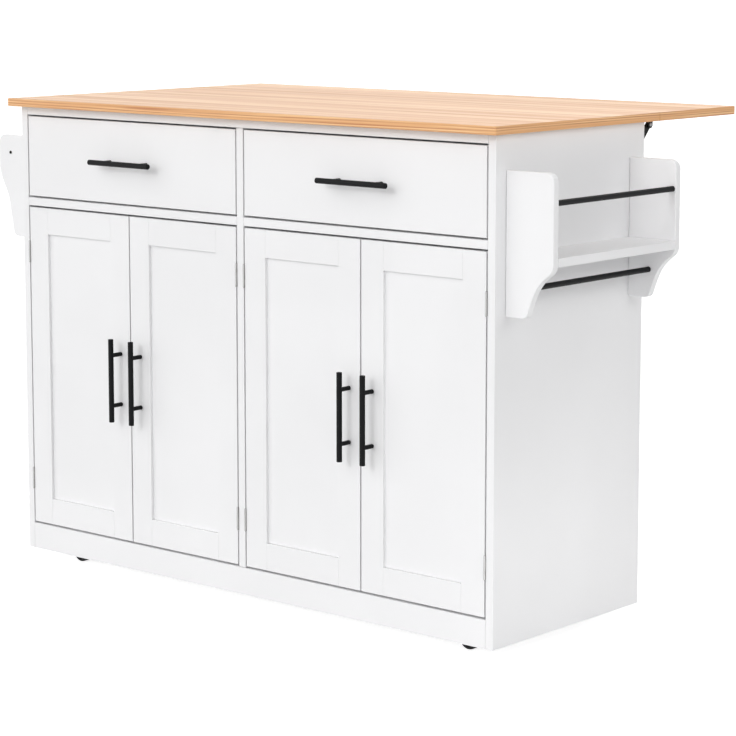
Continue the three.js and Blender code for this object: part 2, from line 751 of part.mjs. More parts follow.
// Side board of the towel rack, drawn the same way.
function towelSideOutline() {
  const outline = new THREE.Shape();
  const r = rackCornerRadius;
  outline.moveTo(0, towelSideBottom);
  outline.lineTo(towelFootDepth - 1.5 * towelFootRadius, towelSideBottom);
  outline.quadraticCurveTo(towelFootDepth - 0.4 * towelFootRadius, towelSideBottom,
    towelFootDepth, towelSideBottom + towelFootRadius);
  outline.lineTo(towelWaistDepth, towelWaistHeight);
  outline.bezierCurveTo(
    towelWaistDepth + towelWaistPullOut, towelWaistHeight + towelWaistPullUp,
    rackDepth - towelEdgePullIn, towelEdgeBottom - towelEdgePullDown,
    rackDepth, towelEdgeBottom,
  );
  outline.lineTo(rackDepth, rackTop - r);
  outline.absarc(rackDepth - r, rackTop - r, r, 0, Math.PI / 2, false);
  outline.lineTo(0, rackTop);
  outline.closePath();
  return outline;
}

// Builds one side board from its outline, with blind sockets in its inner face for the bars.
function makeRackSide(outline, side, y, inward, bars) {
  const profile = uprightAcross(eased(outline, rackBoard, edgeEase, 1, 7), y, rackBoard);
  const innerFace = inward > 0 ? y + rackBoard : y;
  const sockets = bars.map(({ out, height }) => {
    const depth = rackBarSocket + rackBarClearance;
    const ends = [innerFace + inward * cutMargin, innerFace - inward * depth].sort((a, b) => a - b);
    return barY(rackBarRadius + rackBarClearance, out, ends[0], ends[1], height);
  });
  const geometry = shaped([profile], sockets);
  if (side < 0) {
    geometry.scale(-1, 1, 1);
    flipFaces(geometry);
  }
  return geometry;
}

// A mirrored geometry has its faces turned in, so two corners of each triangle change places.
function flipFaces(geometry) {
  const place = geometry.attributes.position;
  for (let i = 0; i < place.count; i += 3) {
    const second = new THREE.Vector3().fromBufferAttribute(place, i + 1);
    const third = new THREE.Vector3().fromBufferAttribute(place, i + 2);
    place.setXYZ(i + 1, third.x, third.y, third.z);
    place.setXYZ(i + 2, second.x, second.y, second.z);
  }
  geometry.computeVertexNormals();
}

function addRack(parent, side, names, outline, bars) {
  const rack = new THREE.Group();
  rack.position.set(side * (halfBody + seat), rackFromFront, floorClearance);
  const rearY = rackLength - rackBoard;
  addPiece(rack, names.front, whitePaint, makeRackSide(outline, side, 0, 1, bars));
  addPiece(rack, names.rear, whitePaint, makeRackSide(outline, side, rearY, -1, bars));
  for (const { name, out, height } of bars) {
    addPiece(rack, name, blackMetal,
      barY(rackBarRadius, side * out, rackBoard - rackBarSocket, rearY + rackBarSocket, height));
  }
  parent.add(rack);
  return rack;
}

function addRacks(parent) {
  const spiceBars = [
    { name: "spice_rail_bar", out: rackDepth - spiceRailInset, height: spiceRailHeight },
    { name: "spice_towel_bar", out: spiceTowelBarOut, height: spiceTowelBarHeight },
  ];
  const spice = addRack(parent, 1, { front: "spice_side_front", rear: "spice_side_rear" },
    spiceSideOutline(), spiceBars);
  addPiece(spice, "spice_shelf", whitePaint, board(
    [0, rackBoard + seat, spiceShelfTop - spiceShelfThickness],
    [rackDepth, rackLength - rackBoard - seat, spiceShelfTop],
  ));
  const towelBars = [{ name: "towel_bar", out: towelBarOut, height: towelBarHeight }];
  addRack(parent, -1, { front: "towel_side_front", rear: "towel_side_rear" },
    towelSideOutline(), towelBars);
}

// ---------------------------------------------------------------- castors

// A fork seen from its side: u along the trail, v up from the floor.
function makeFork() {
  const crownTop = castorTop - castorPlateThickness - racewayHeight - swivelGap;
  const crownBottom = crownTop - forkCrownThickness;
  const inside = wheelWidth / 2 + forkSideGap;
  const outside = inside + forkPlate;
  const halfCrown = forkCrownLength / 2;
  const leg = new THREE.Shape();
  leg.moveTo(-halfCrown, crownTop);
  leg.lineTo(-halfCrown, crownBottom - forkCheekDrop);
  leg.lineTo(castorTrail - forkEndRadius, wheelRadius);
  leg.absarc(castorTrail, wheelRadius, forkEndRadius, Math.PI, 2 * Math.PI, false);
  leg.lineTo(halfCrown + forkCrownAhead, crownTop);
  leg.closePath();
  const legs = [-outside, inside].map((y) => uprightAcross(flat(leg, forkPlate, 6), y, forkPlate));
  const crown = block([-halfCrown, -outside, crownBottom], [halfCrown + forkCrownAhead, outside, crownTop]);
  const axle = barY(axleRadius, castorTrail, -outside, outside, wheelRadius, pinSides);
  const heads = [-1, 1].map((end) => {
    const ends = [end * (outside - joinOverlap), end * (outside + axleHeadThickness)];
    const [y0, y1] = ends.sort((a, b) => a - b);
    return barY(axleHeadRadius, castorTrail, y0, y1, wheelRadius, pinSides);
  });
  const hole = barZ(kingpinRadius + swivelGap, 0, 0, crownBottom - cutMargin, crownTop + cutMargin);
  return shaped([crown, ...legs, axle, ...heads], [hole]);
}

// A wheel turned from one profile: bore, hub face, dished web, tread with round shoulders.
function makeWheel() {
  const half = wheelWidth / 2;
  const bore = axleRadius + axleClearance;
  const shoulder = [0, Math.PI / 4, Math.PI / 2].map((angle) => [
    wheelRadius - treadRound * (1 - Math.sin(angle)),
    half - treadRound * (1 - Math.cos(angle)),
  ]);
  const side = [[bore, half], [wheelHubRadius, half], [wheelWebRadius, half - wheelHubInset], ...shoulder];
  const mirrored = side.map(([r, y]) => [r, -y]);
  const profile = [...mirrored, ...side.reverse(), mirrored[0]];
  const points = profile.map(([r, y]) => new THREE.Vector2(r, y));
  return new THREE.LatheGeometry(points, wheelSides).translate(castorTrail, 0, wheelRadius);
}

function addCastors(parent) {
  for (const { name, x, y, turn } of castorPlaces()) {
    const castor = new THREE.Group();
    castor.position.set(x, y, 0);
    castor.rotation.z = turn;
    addPiece(castor, `castor_fork_${name}`, forkSteel, makeFork());
    addPiece(castor, `castor_wheel_${name}`, wheelRubber, makeWheel());
    parent.add(castor);
  }
}

// ---------------------------------------------------------------- the whole island

const island = new THREE.Group();
island.add(makeBody());
addTops(island);
addBrackets(island);
addDoors(island);
addDrawers(island);
addRacks(island);
addCastors(island);
// The origin is on the floor, under the middle of the space that the island takes up.
island.position.y = -(topBack - handleFront) / 2;

export default island;
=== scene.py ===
import json
import math

import bmesh
import bpy
from mathutils import Matrix, Vector
from mathutils.geometry import interpolate_bezier


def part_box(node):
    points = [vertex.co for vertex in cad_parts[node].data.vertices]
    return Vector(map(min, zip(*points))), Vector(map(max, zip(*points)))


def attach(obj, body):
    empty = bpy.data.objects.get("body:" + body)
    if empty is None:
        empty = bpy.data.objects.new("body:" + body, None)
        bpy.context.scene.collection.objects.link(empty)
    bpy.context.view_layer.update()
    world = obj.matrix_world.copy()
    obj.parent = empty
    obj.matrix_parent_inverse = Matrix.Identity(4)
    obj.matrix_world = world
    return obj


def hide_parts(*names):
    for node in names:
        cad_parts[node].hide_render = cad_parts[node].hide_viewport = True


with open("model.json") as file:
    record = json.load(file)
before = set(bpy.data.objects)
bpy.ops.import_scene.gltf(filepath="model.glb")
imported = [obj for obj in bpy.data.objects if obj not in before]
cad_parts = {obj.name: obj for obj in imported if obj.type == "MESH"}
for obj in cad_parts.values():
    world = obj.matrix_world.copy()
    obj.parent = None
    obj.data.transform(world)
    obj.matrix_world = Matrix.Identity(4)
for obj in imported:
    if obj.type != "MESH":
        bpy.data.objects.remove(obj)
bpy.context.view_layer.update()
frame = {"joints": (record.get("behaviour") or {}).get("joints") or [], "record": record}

MM = 0.001
record = frame["record"]
body_of = {node: body for body, nodes in record["behaviour"]["bodies"].items() for node in nodes}
slot_of = {part["node"]: part["material_slot"] for part in record["subparts"]}
joint_place = {j["name"]: Vector(j["pos_m"]) for j in frame["joints"] if "pos_m" in j}

# ---------------------------------------------------------------- sizes in metres

# Rounding of board edges, and of the finer edges of frames and of metal
BOARD_EDGE = 0.6 * MM
FRAME_EDGE = 0.45 * MM
METAL_EDGE = 0.35 * MM
# The fine line where boards are joined
BOARD_JOINT = 0.12 * MM

# Carcass
BOARD = 16 * MM
# These boards are drawn this much short of their solids below and above, and the doors by
# DOOR_RELIEF, so that the level gaps round the fronts look as dark as in the photograph.
EDGE_RELIEF = {
    "top_rail_front": (0.35 * MM, 0),
    "drawer_deck_left": (0.35 * MM, 0.4 * MM),
    "drawer_deck_right": (0.35 * MM, 0.4 * MM),
    "drawer_front_left": (0.4 * MM, 0.05 * MM),
    "drawer_front_right": (0.4 * MM, 0.05 * MM),
    "kick_board": (0, 0.45 * MM),
}
DOOR_RELIEF = (0.5 * MM, 0.25 * MM)

# Shelf pins: a round pin in the carcass, and on it a flat tongue under the shelf
SHELF_PIN_INSET = 45 * MM
SHELF_PIN_RADIUS = 2.5 * MM
SHELF_PIN_LENGTH = 7 * MM
SHELF_TONGUE_START = 1.5 * MM
SHELF_TONGUE_END = 11 * MM
SHELF_TONGUE_HALF = 4 * MM
SHELF_TONGUE_THICK = 1.4 * MM
SHELF_TONGUE_GAP = 0.1 * MM

# Screw heads: radius and rise
BOARD_SCREW = (3.6 * MM, 1.6 * MM)
BRACKET_SCREW = (3.4 * MM, 1.5 * MM)
RACK_SCREW = (3.2 * MM, 1.4 * MM)
HINGE_SCREW = (2.1 * MM, 0.12 * MM)

# Doors. The panel's face ends a groove short of the rails, and its tongue lies a step behind it.
DOOR_FRAME = 50 * MM
DOOR_GAP = 1.5 * MM
PANEL_RECESS = 5.5 * MM
PANEL_THICK = 6 * MM
PANEL_TONGUE = 4 * MM
PANEL_STEP = 1.2 * MM
PANEL_GROOVE = 0.25 * MM

# Butt hinges
HINGE_RADIUS = 1.75 * MM
HINGE_LEAF = 1.05 * MM
HINGE_LEAF_DEPTH = 14 * MM
HINGE_SLACK = 0.15 * MM
HINGE_ROOT = 4 * HINGE_SLACK
HINGE_SCREW_END = 8 * MM
HINGE_SCREW_DEPTH = 8 * MM
PIN_HEAD_RADIUS = 1.4 * MM
PIN_HEAD_RISE = 1.0 * MM

# Handles
HANDLE_RADIUS = 5 * MM
HANDLE_EASE = 0.9 * MM
POST_RADIUS = 4 * MM
POST_HALF_SPACING = 48 * MM

# Drawer boxes
DRAWER_WALL = 12 * MM
DRAWER_BOTTOM = 5 * MM
DRAWER_BOTTOM_RISE = 8 * MM
DRAWER_GROOVE = 5 * MM

# Tops. Edges that start within SEAM_REACH of the seam keep their own finer rounding.
TOP_CORNER = 3 * MM
TOP_EDGE = 1 * MM
SEAM_EDGE = 0.2 * MM
SEAM_REACH = 2 * MM
LEVEL_SLACK = 0.01 * MM

# Leaf brackets, seen from their side: U back and V up from the leaf's fold axis
BRACKET_PLATE = 2.5 * MM
BRACKET_PLATE_WIDTH = 18 * MM
BRACKET_WEB = 3 * MM
BRACKET_WEB_DEPTH = 8 * MM
BRACKET_PLANE_GAP = 0.5 * MM
BRACKET_END = 14 * MM
LINK_THICK = 3 * MM
LINK_HALF = 7 * MM
EAR_RADIUS = 5 * MM
EAR_GAP = 3 * MM
SEAM_PIN_RADIUS = 2 * MM
RIVET_RADIUS = 3.5 * MM
RIVET_RISE = 1.3 * MM
# Where the screws sit across each arm's plate, and how far along it, as shares of its length
WALL_SCREW_ACROSS = 3.7 * MM
WALL_SCREW_SHARES = (0.2, 0.5, 0.8)
LEAF_SCREW_ACROSS = -5 * MM
LEAF_SCREW_SHARES = (0.2, 0.5, 0.78)

# Side racks
RACK_CORNER = 16 * MM
RACK_EDGE = 1.6 * MM

# Castors: plate, raceway and kingpin
PLATE_HALF = 22 * MM
PLATE_THICK = 2.5 * MM
PLATE_CORNER = 5 * MM
PLATE_SCREW = 16.5 * MM
RACEWAY_RADIUS = 14 * MM
RACEWAY_RISE = 4 * MM
RACEWAY_FOOT = 2 * MM
RACEWAY_LIP = 1.5 * MM
KINGPIN_RADIUS = 4 * MM
KINGPIN_HEAD = (6.5 * MM, 2 * MM)
KINGPIN_GAP = 0.3 * MM

# Castors: fork, axle and wheel
FORK_PLATE = 2 * MM
FORK_CLEARANCE = 1.2 * MM
CROWN_THICK = 2.5 * MM
CROWN_EDGE = 0.8 * MM
CROWN_BEHIND = 15 * MM
CROWN_AHEAD = 18 * MM
CHEEK_LAP = 0.6 * MM
CHEEK_HEEL = 4.5 * MM
CHEEK_END = 7 * MM
AXLE_RADIUS = 3 * MM
TYRE_EDGE = 3.2 * MM
TREAD_LINE_HALF = 1.2 * MM
TREAD_LINE_FLOOR = 0.8 * MM
TREAD_LINE_DEPTH = 0.5 * MM


def points_mm(*pairs):
    """Pairs of millimetres as pairs of metres."""
    return [(a * MM, b * MM) for a, b in pairs]


# ---------------------------------------------------------------- materials


def linear(hex_code):
    """The linear values of an sRGB hex colour, with an alpha of 1."""
    values = [int(hex_code[i : i + 2], 16) / 255 for i in (1, 3, 5)]
    return [v / 12.92 if v <= 0.04045 else ((v + 0.055) / 1.055) ** 2.4 for v in values] + [1.0]


def add_node(tree, kind, inputs=(), **settings):
    """Adds a node, with its settings, its input values and the links into it."""
    node = tree.nodes.new("ShaderNode" + kind)
    for key, value in settings.items():
        setattr(node, key, value)
    for key, value in dict(inputs).items():
        if isinstance(value, bpy.types.NodeSocket):
            tree.links.new(value, node.inputs[key])
        else:
            node.inputs[key].default_value = value
    return node


def computed(tree, operation, *values):
    """The result of an operation on values, each a number or a socket."""
    return add_node(tree, "Math", dict(enumerate(values)), operation=operation).outputs[0]


def features(size_mm):
    """How many features of a size in millimetres there are in a metre."""
    return 1000 / size_mm


def new_material(name, **sockets):
    """A material with these shader values, and its tree, shader and Object coordinates."""
    material = bpy.data.materials.new(name)
    material.use_nodes = True
    tree = material.node_tree
    shader = tree.nodes["Principled BSDF"]
    for key, value in sockets.items():
        shader.inputs[key.replace("_", " ")].default_value = value
    place = add_node(tree, "TexCoord").outputs["Object"]
    return material, tree, shader, place


def grained(tree, place, sizes_mm, detail=2.0):
    """Noise with features of a size in millimetres along each axis."""
    scale = [features(size) for size in sizes_mm]
    stretched = add_node(tree, "Mapping", {"Vector": place, "Scale": scale})
    inputs = {"Vector": stretched.outputs[0], "Scale": 1.0, "Detail": detail, "Roughness": 0.5}
    return add_node(tree, "TexNoise", inputs).outputs["Fac"]


def banded(tree, value, low, high, start=0.0, end=1.0):
    """A value between low and high spread out between start and end, smoothly."""
    inputs = {"Value": value, "From Min": low, "From Max": high}
    inputs |= {"To Min": start, "To Max": end}
    return add_node(tree, "MapRange", inputs, interpolation_type="SMOOTHSTEP").outputs[0]


def blended(tree, factor, first, second):
    """One colour over another by a factor."""
    mix = add_node(tree, "Mix", {0: factor, 6: first, 7: second}, data_type="RGBA")
    return mix.outputs[2]


def coat_with(tree, shader, colour, roughness, height, rise_mm):
    """Links a colour, a roughness and a height that stands that far proud to the shader."""
    tree.links.new(colour, shader.inputs["Base Color"])
    tree.links.new(roughness, shader.inputs["Roughness"])
    inputs = {"Height": height, "Distance": rise_mm * MM, "Strength": 1.0}
    tree.links.new(add_node(tree, "Bump", inputs).outputs[0], shader.inputs["Normal"])


def satin_lacquer(name, light, shade, cloud_mm):
    """Sprayed satin lacquer on fibreboard: nearly even white with a faint orange peel."""
    material, tree, shader, place = new_material(name, IOR=1.5)
    cloud = grained(tree, place, (cloud_mm,) * 3)
    colour = blended(tree, banded(tree, cloud, 0.35, 0.65), linear(light), linear(shade))
    gloss = grained(tree, place, (35, 35, 35), detail=3.0)
    # Real orange peel is about 2 mm wide, and it is drawn at 4 mm so that it shows.
    peel = grained(tree, place, (4, 4, 4), detail=1.0)
    coat_with(tree, shader, colour, banded(tree, gloss, 0.3, 0.7, 0.36, 0.46), peel, 0.012)
    return material


def oak_laminate():
    """Oak laminate under clear lacquer: long soft bands and finer streaks along X."""
    material, tree, shader, place = new_material(
        "oak_laminate_lacquered", IOR=1.45, Specular_IOR_Level=0.35
    )
    figure = grained(tree, place, (1600, 70, 70), detail=2.0)
    band = grained(tree, place, (1100, 26, 26), detail=2.0)
    streak = grained(tree, place, (700, 7, 7), detail=3.0)
    pore = grained(tree, place, (24, 0.9, 0.9), detail=1.0)
    ground = blended(tree, banded(tree, figure, 0.36, 0.62), linear("#F8CEA4"), linear("#EBB88A"))
    belted = blended(tree, banded(tree, band, 0.46, 0.66, 0, 0.7), ground, linear("#DCA678"))
    streaked = blended(tree, banded(tree, streak, 0.52, 0.72, 0, 0.5), belted, linear("#CC9567"))
    flecked = blended(tree, banded(tree, pore, 0.64, 0.8, 0, 0.3), streaked, linear("#B58055"))
    coat_with(tree, shader, flecked, banded(tree, band, 0.3, 0.7, 0.5, 0.6), pore, -0.02)
    return material


def oak_edge_band():
    """Oak edge banding: honey wood with thin dark growth lines that run along the edge."""
    material, tree, shader, place = new_material("oak_edge_banding", IOR=1.5)
    split = add_node(tree, "SeparateXYZ", {0: place}).outputs
    along = computed(tree, "ADD", split[0], split[1])
    edge_place = add_node(tree, "CombineXYZ", {0: along, 2: split[2]}).outputs[0]
    streak = grained(tree, edge_place, (260, 10, 6), detail=2.0)
    wander = grained(tree, edge_place, (800, 10, 12), detail=2.0)
    # Growth lines lie about 4.6 mm apart up the edge and wander by a line or two along it.
    height = computed(tree, "MULTIPLY", split[2], features(4.6))
    rings = computed(tree, "MULTIPLY_ADD", wander, 3.0, height)
    folded = computed(tree, "PINGPONG", rings, 0.5)
    line = banded(tree, folded, 0.0, 0.4, 1, 0)
    strength = computed(tree, "MULTIPLY", line, banded(tree, streak, 0.35, 0.6, 0.2, 1.0))
    ground = blended(tree, banded(tree, streak, 0.4, 0.6), linear("#E8B078"), linear("#F6C891"))
    lined = blended(tree, strength, ground, linear("#C27D4F"))
    coat_with(tree, shader, lined, banded(tree, line, 0, 1, 0.4, 0.5), line, -0.01)
    return material


def black_powder_coat():
    """Matt black powder coat on steel: a fine even grit that spreads the highlight."""
    material, tree, shader, place = new_material(
        "black_powder_coat", IOR=1.5, Specular_IOR_Level=0.12
    )
    # The grit is about 0.3 mm, and it is drawn at 0.9 mm so that it shows.
    grit = grained(tree, place, (0.9, 0.9, 0.9), detail=2.0)
    colour = blended(tree, banded(tree, grit, 0.3, 0.7), linear("#0A0B0C"), linear("#121315"))
    coat_with(tree, shader, colour, banded(tree, grit, 0.3, 0.7, 0.42, 0.56), grit, 0.03)
    return material


def black_electrocoat():
    """Thin black electrocoat on pressed steel: smooth, with faint drawn lines from pressing."""
    material, tree, shader, place = new_material(
        "black_electrocoated_steel", IOR=1.5, Specular_IOR_Level=0.1
    )
    drawn = grained(tree, place, (6, 60, 60), detail=3.0)
    mottled = grained(tree, place, (9, 9, 9), detail=3.0)
    colour = blended(tree, banded(tree, mottled, 0.3, 0.7), linear("#0B0B0C"), linear("#141516"))
    coat_with(tree, shader, colour, banded(tree, drawn, 0.3, 0.7, 0.3, 0.45), drawn, 0.01)
    return material


def plated_steel(name, light, shade, sizes_mm, smooth, rough):
    """Plated steel: a metal sheen broken up by the lines or clouds that its making leaves."""
    material, tree, shader, place = new_material(name, Metallic=1.0)
    pattern = grained(tree, place, sizes_mm, detail=3.0)
    colour = blended(tree, banded(tree, pattern, 0.3, 0.7), linear(light), linear(shade))
    coat_with(tree, shader, colour, banded(tree, pattern, 0.3, 0.7, smooth, rough), pattern, 0.01)
    return material


def moulded_nylon():
    """Moulded black nylon: a dull sheen over the fine spark texture of its mould."""
    material, tree, shader, place = new_material(
        "moulded_black_nylon", IOR=1.53, Specular_IOR_Level=0.2
    )
    # The mould's texture is about 0.2 mm, and it is drawn at 0.7 mm so that it shows.
    spark = grained(tree, place, (0.7, 0.7, 0.7), detail=2.0)
    scuff = grained(tree, place, (12, 12, 12), detail=4.0)
    colour = blended(tree, banded(tree, scuff, 0.35, 0.7), linear("#0F0F10"), linear("#19191B"))
    coat_with(tree, shader, colour, banded(tree, scuff, 0.3, 0.7, 0.5, 0.65), spark, 0.03)
    return material


FINISHES = {
    "white_board": satin_lacquer("white_satin_lacquer", "#F4F4F5", "#F1F1F2", 300),
    "drawer_board": satin_lacquer("white_melamine_board", "#F0F0EE", "#EBEBE8", 60),
    "oak_top": oak_laminate(),
    "black_handle": black_powder_coat(),
    "black_bracket": black_electrocoat(),
    "hinge_steel": plated_steel(
        "nickel_plated_steel_brushed", "#B4B4B3", "#9C9C9B", (1.2, 1.2, 30), 0.28, 0.42
    ),
    "castor_steel": plated_steel("zinc_plated_steel", "#B9BCBF", "#9A9DA0", (7, 7, 7), 0.3, 0.5),
    "castor_wheel": moulded_nylon(),
}
EDGE_BAND = oak_edge_band()

# ---------------------------------------------------------------- shapes

# Edges that turn by more than this are corners of an outline.
CORNER_TURN = math.radians(32)
# A low round head, as pairs of shares of its radius and of its rise
DOME = ((0, -0.45), (1, -0.45), (1, 0.45), (0.86, 0.78), (0.5, 0.95), (0, 1))
# The cross in a screw head: reach and half width as shares of the radius, depth as a share of the
# rise, and how much it narrows to its floor
CROSS_REACH = 0.65
CROSS_HALF = 0.2
CROSS_DEPTH = 0.7
CROSS_TAPER = 0.8
# How far a screw head's skirt goes into its board, as a share of the rise
SKIRT_DEPTH = 0.2


def edges_at(verts):
    """The edges that meet any of these corners."""
    return {edge for vert in verts for edge in vert.link_edges}


def faces_at(verts):
    """The faces that meet any of these corners."""
    return list({face for vert in verts for face in vert.link_faces})


def of_kind(kind, items):
    """The items of one kind among corners, edges and faces."""
    return [item for item in items if isinstance(item, kind)]


def climb(edge):
    """How far one end of an edge lies above the other."""
    return abs(edge.verts[0].co.z - edge.verts[1].co.z)


def made_since(shape, before):
    """The corners added to a shape since the given ones were all it had."""
    return [vert for vert in shape.verts if vert not in before]


def face_out(shape, verts):
    """Turns the faces between these corners outwards."""
    bmesh.ops.recalc_face_normals(shape, faces=faces_at(verts))


def round_edges(shape, edges, radius, segments):
    """Rounds edges to a radius."""
    bmesh.ops.bevel(
        shape,
        geom=list(edges),
        offset=radius,
        affect="EDGES",
        segments=segments,
        profile=0.5,
        material=-1,
        clamp_overlap=True,
    )


def add_cube(shape, low, high):
    """A square block between two corners. Its corners are returned."""
    low, high = Vector(low), Vector(high)
    verts = bmesh.ops.create_cube(shape, size=1.0)["verts"]
    bmesh.ops.scale(shape, vec=high - low, verts=verts)
    bmesh.ops.translate(shape, vec=(low + high) / 2, verts=verts)
    return verts


def add_board(shape, low, high, radius=BOARD_EDGE):
    """A board between two corners, with every edge rounded."""
    round_edges(shape, edges_at(add_cube(shape, low, high)), radius, segments=2)


def add_plate(shape, outline, lift, radius, segments=2):
    """An outline drawn out along a vector, with its sharp edges and corners rounded."""
    near = [shape.verts.new(point) for point in outline]
    face = shape.faces.new(near)
    drawn = bmesh.ops.extrude_face_region(shape, geom=[face], use_keep_orig=True)["geom"]
    far = of_kind(bmesh.types.BMVert, drawn)
    bmesh.ops.translate(shape, vec=lift, verts=far)
    face_out(shape, near + far)
    sharp = {edge for edge in edges_at(near + far) if edge.calc_face_angle(0) > CORNER_TURN}
    round_edges(shape, sharp, radius, segments)


def add_turned(shape, profile, centre, axis, sides=32):
    """Spins a profile, pairs of radius and place along the axis, round a centre."""
    before = set(shape.verts)
    axis = Vector(axis).normalized()
    out = axis.orthogonal().normalized()
    centre = Vector(centre)
    points = [shape.verts.new(centre + out * radius + axis * along) for radius, along in profile]
    edges = [shape.edges.new(pair) for pair in zip(points, points[1:])]
    bmesh.ops.spin(
        shape,
        geom=points + edges,
        cent=centre,
        axis=axis,
        angle=2 * math.pi,
        steps=sides,
        use_merge=True,
    )
    bmesh.ops.remove_doubles(shape, verts=made_since(shape, before), dist=1e-6)
    face_out(shape, made_since(shape, before))


def add_rod(shape, radius, first, second, ease=METAL_EDGE, sides=32):
    """A round rod with eased ends between two points."""
    first, second = Vector(first), Vector(second)
    length = (second - first).length
    part = 0.3 * ease
    near = [(0, 0), (radius - ease, 0), (radius - part, part), (radius, ease)]
    profile = near + [(out, length - along) for out, along in reversed(near)]
    add_turned(shape, profile, first, second - first, sides)


def add_dome(shape, radius, rise, place, out, sides=20):
    """A low round head that stands out from a surface."""
    add_turned(shape, [(share * radius, up * rise) for share, up in DOME], place, out, sides)


def add_screw(shape, place, out, radius, rise):
    """A screw head with a cross recess, standing out from a surface."""
    before = set(shape.verts)
    bmesh.ops.create_grid(shape, x_segments=5, y_segments=5, size=radius)
    top = made_since(shape, before)
    cross = []
    for face in faces_at(top):
        x, y = (abs(value) for value in face.calc_center_median()[:2])
        if max(x, y) < CROSS_REACH * radius and min(x, y) < CROSS_HALF * radius:
            cross.append(face)
    # The square grid is drawn into a disc and domed.
    for vert in top:
        x, y = vert.co.x / radius, vert.co.y / radius
        vert.co.x *= math.sqrt(1 - y * y / 2)
        vert.co.y *= math.sqrt(1 - x * x / 2)
        vert.co.z = rise * (1 - 0.5 * (x * x + y * y - x * x * y * y))
    rim = [edge for edge in edges_at(top) if edge.is_boundary]
    sunk = bmesh.ops.extrude_face_region(shape, geom=cross)["geom"]
    bmesh.ops.delete(shape, geom=cross, context="FACES_ONLY")
    cross_floor = of_kind(bmesh.types.BMVert, sunk)
    bmesh.ops.translate(shape, vec=(0, 0, -CROSS_DEPTH * rise), verts=cross_floor)
    bmesh.ops.scale(shape, vec=(CROSS_TAPER, CROSS_TAPER, 1), verts=cross_floor)
    skirt = bmesh.ops.extrude_edge_only(shape, edges=rim)["geom"]
    for vert in of_kind(bmesh.types.BMVert, skirt):
        vert.co.z = -SKIRT_DEPTH * rise
    bmesh.ops.contextual_create(shape, geom=of_kind(bmesh.types.BMEdge, skirt))
    made = made_since(shape, before)
    turn = Vector((0, 0, 1)).rotation_difference(Vector(out)).to_matrix().to_4x4()
    bmesh.ops.transform(shape, matrix=Matrix.Translation(place) @ turn, verts=made)
    face_out(shape, made)


def finish_piece(shape, name, nodes=(), body=None, slot=None):
    """Makes a shape a piece that rides on a body, has a slot's finish and stands for CAD nodes."""
    mesh = bpy.data.meshes.new(name)
    shape.to_mesh(mesh)
    shape.free()
    mesh.shade_smooth()
    slot = slot or slot_of[nodes[0]]
    mesh.materials.append(FINISHES[slot])
    piece = bpy.data.objects.new(name, mesh)
    bpy.context.scene.collection.objects.link(piece)
    piece.modifiers.new("weighted_normals", "WEIGHTED_NORMAL").keep_sharp = True
    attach(piece, body or body_of[nodes[0]])
    if nodes:
        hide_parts(*nodes)
    return piece


# ---------------------------------------------------------------- carcass

PLAIN_BOARDS = (
    "side_panel_left",
    "side_panel_right",
    "kick_board",
    "back_panel",
    "top_rail_front",
    "top_rail_rear",
    "centre_partition",
    "drawer_deck_left",
    "drawer_deck_right",
    "shelf_left",
    "shelf_right",
    "drawer_front_left",
    "drawer_front_right",
    "spice_shelf",
)
for board_node in PLAIN_BOARDS:
    board_low, board_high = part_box(board_node)
    relief_below, relief_above = EDGE_RELIEF.get(board_node, (0, 0))
    board_low.z += relief_below
    board_high.z -= relief_above
    board_shape = bmesh.new()
    add_board(board_shape, board_low, board_high)
    finish_piece(board_shape, f"{board_node}_board", [board_node])

front_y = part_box("drawer_front_left")[0].y
bottom_low, bottom_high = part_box("bottom_panel")
bottom_under = bottom_high.z - BOARD
bottom_shape = bmesh.new()
add_board(bottom_shape, (bottom_low.x, bottom_low.y, bottom_under), bottom_high)
finish_piece(bottom_shape, "bottom_board", ["bottom_panel"])


def make_shelf_pins(side):
    """Four steel pins in the carcass that a cupboard shelf lies on."""
    low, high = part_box(f"shelf_{side}")
    shape = bmesh.new()
    z = low.z - SHELF_PIN_RADIUS
    top = low.z - SHELF_TONGUE_GAP
    under = top - SHELF_TONGUE_THICK
    for x, inward in ((low.x, 1), (high.x, -1)):
        inner = x + inward * SHELF_PIN_LENGTH
        ends = sorted((x + inward * SHELF_TONGUE_START, x + inward * SHELF_TONGUE_END))
        for y in (low.y + SHELF_PIN_INSET, high.y - SHELF_PIN_INSET):
            add_rod(shape, SHELF_PIN_RADIUS, (x, y, z), (inner, y, z), sides=20)
            near, far = y - SHELF_TONGUE_HALF, y + SHELF_TONGUE_HALF
            add_board(shape, (ends[0], near, under), (ends[1], far, top), METAL_EDGE)
    finish_piece(shape, f"shelf_pins_{side}", body="root", slot="castor_steel")


for shelf_side in ("left", "right"):
    make_shelf_pins(shelf_side)

# ---------------------------------------------------------------- doors, hinges, handles, drawers


def add_hinge_half(shape, axis, z_low, z_high, toward, knuckles):
    """Half a butt hinge: a leaf beside the gap, its roots and its knuckles, and its screws."""
    face_x = axis.x + toward * HINGE_SLACK
    x0, x1 = sorted((face_x, axis.x + toward * (HINGE_SLACK + HINGE_LEAF)))
    back, root = front_y + HINGE_LEAF_DEPTH, front_y + HINGE_ROOT
    add_board(shape, (x0, front_y + HINGE_SLACK, z_low), (x1, back, z_high), METAL_EDGE)
    for low, high in knuckles:
        add_board(shape, (x0, axis.y, low), (x1, root, high), METAL_EDGE / 2)
        add_rod(shape, HINGE_RADIUS, (axis.x, axis.y, low), (axis.x, axis.y, high))
    for z in (z_low + HINGE_SCREW_END, z_high - HINGE_SCREW_END):
        add_screw(shape, (face_x, front_y + HINGE_SCREW_DEPTH, z), (-toward, 0, 0), *HINGE_SCREW)


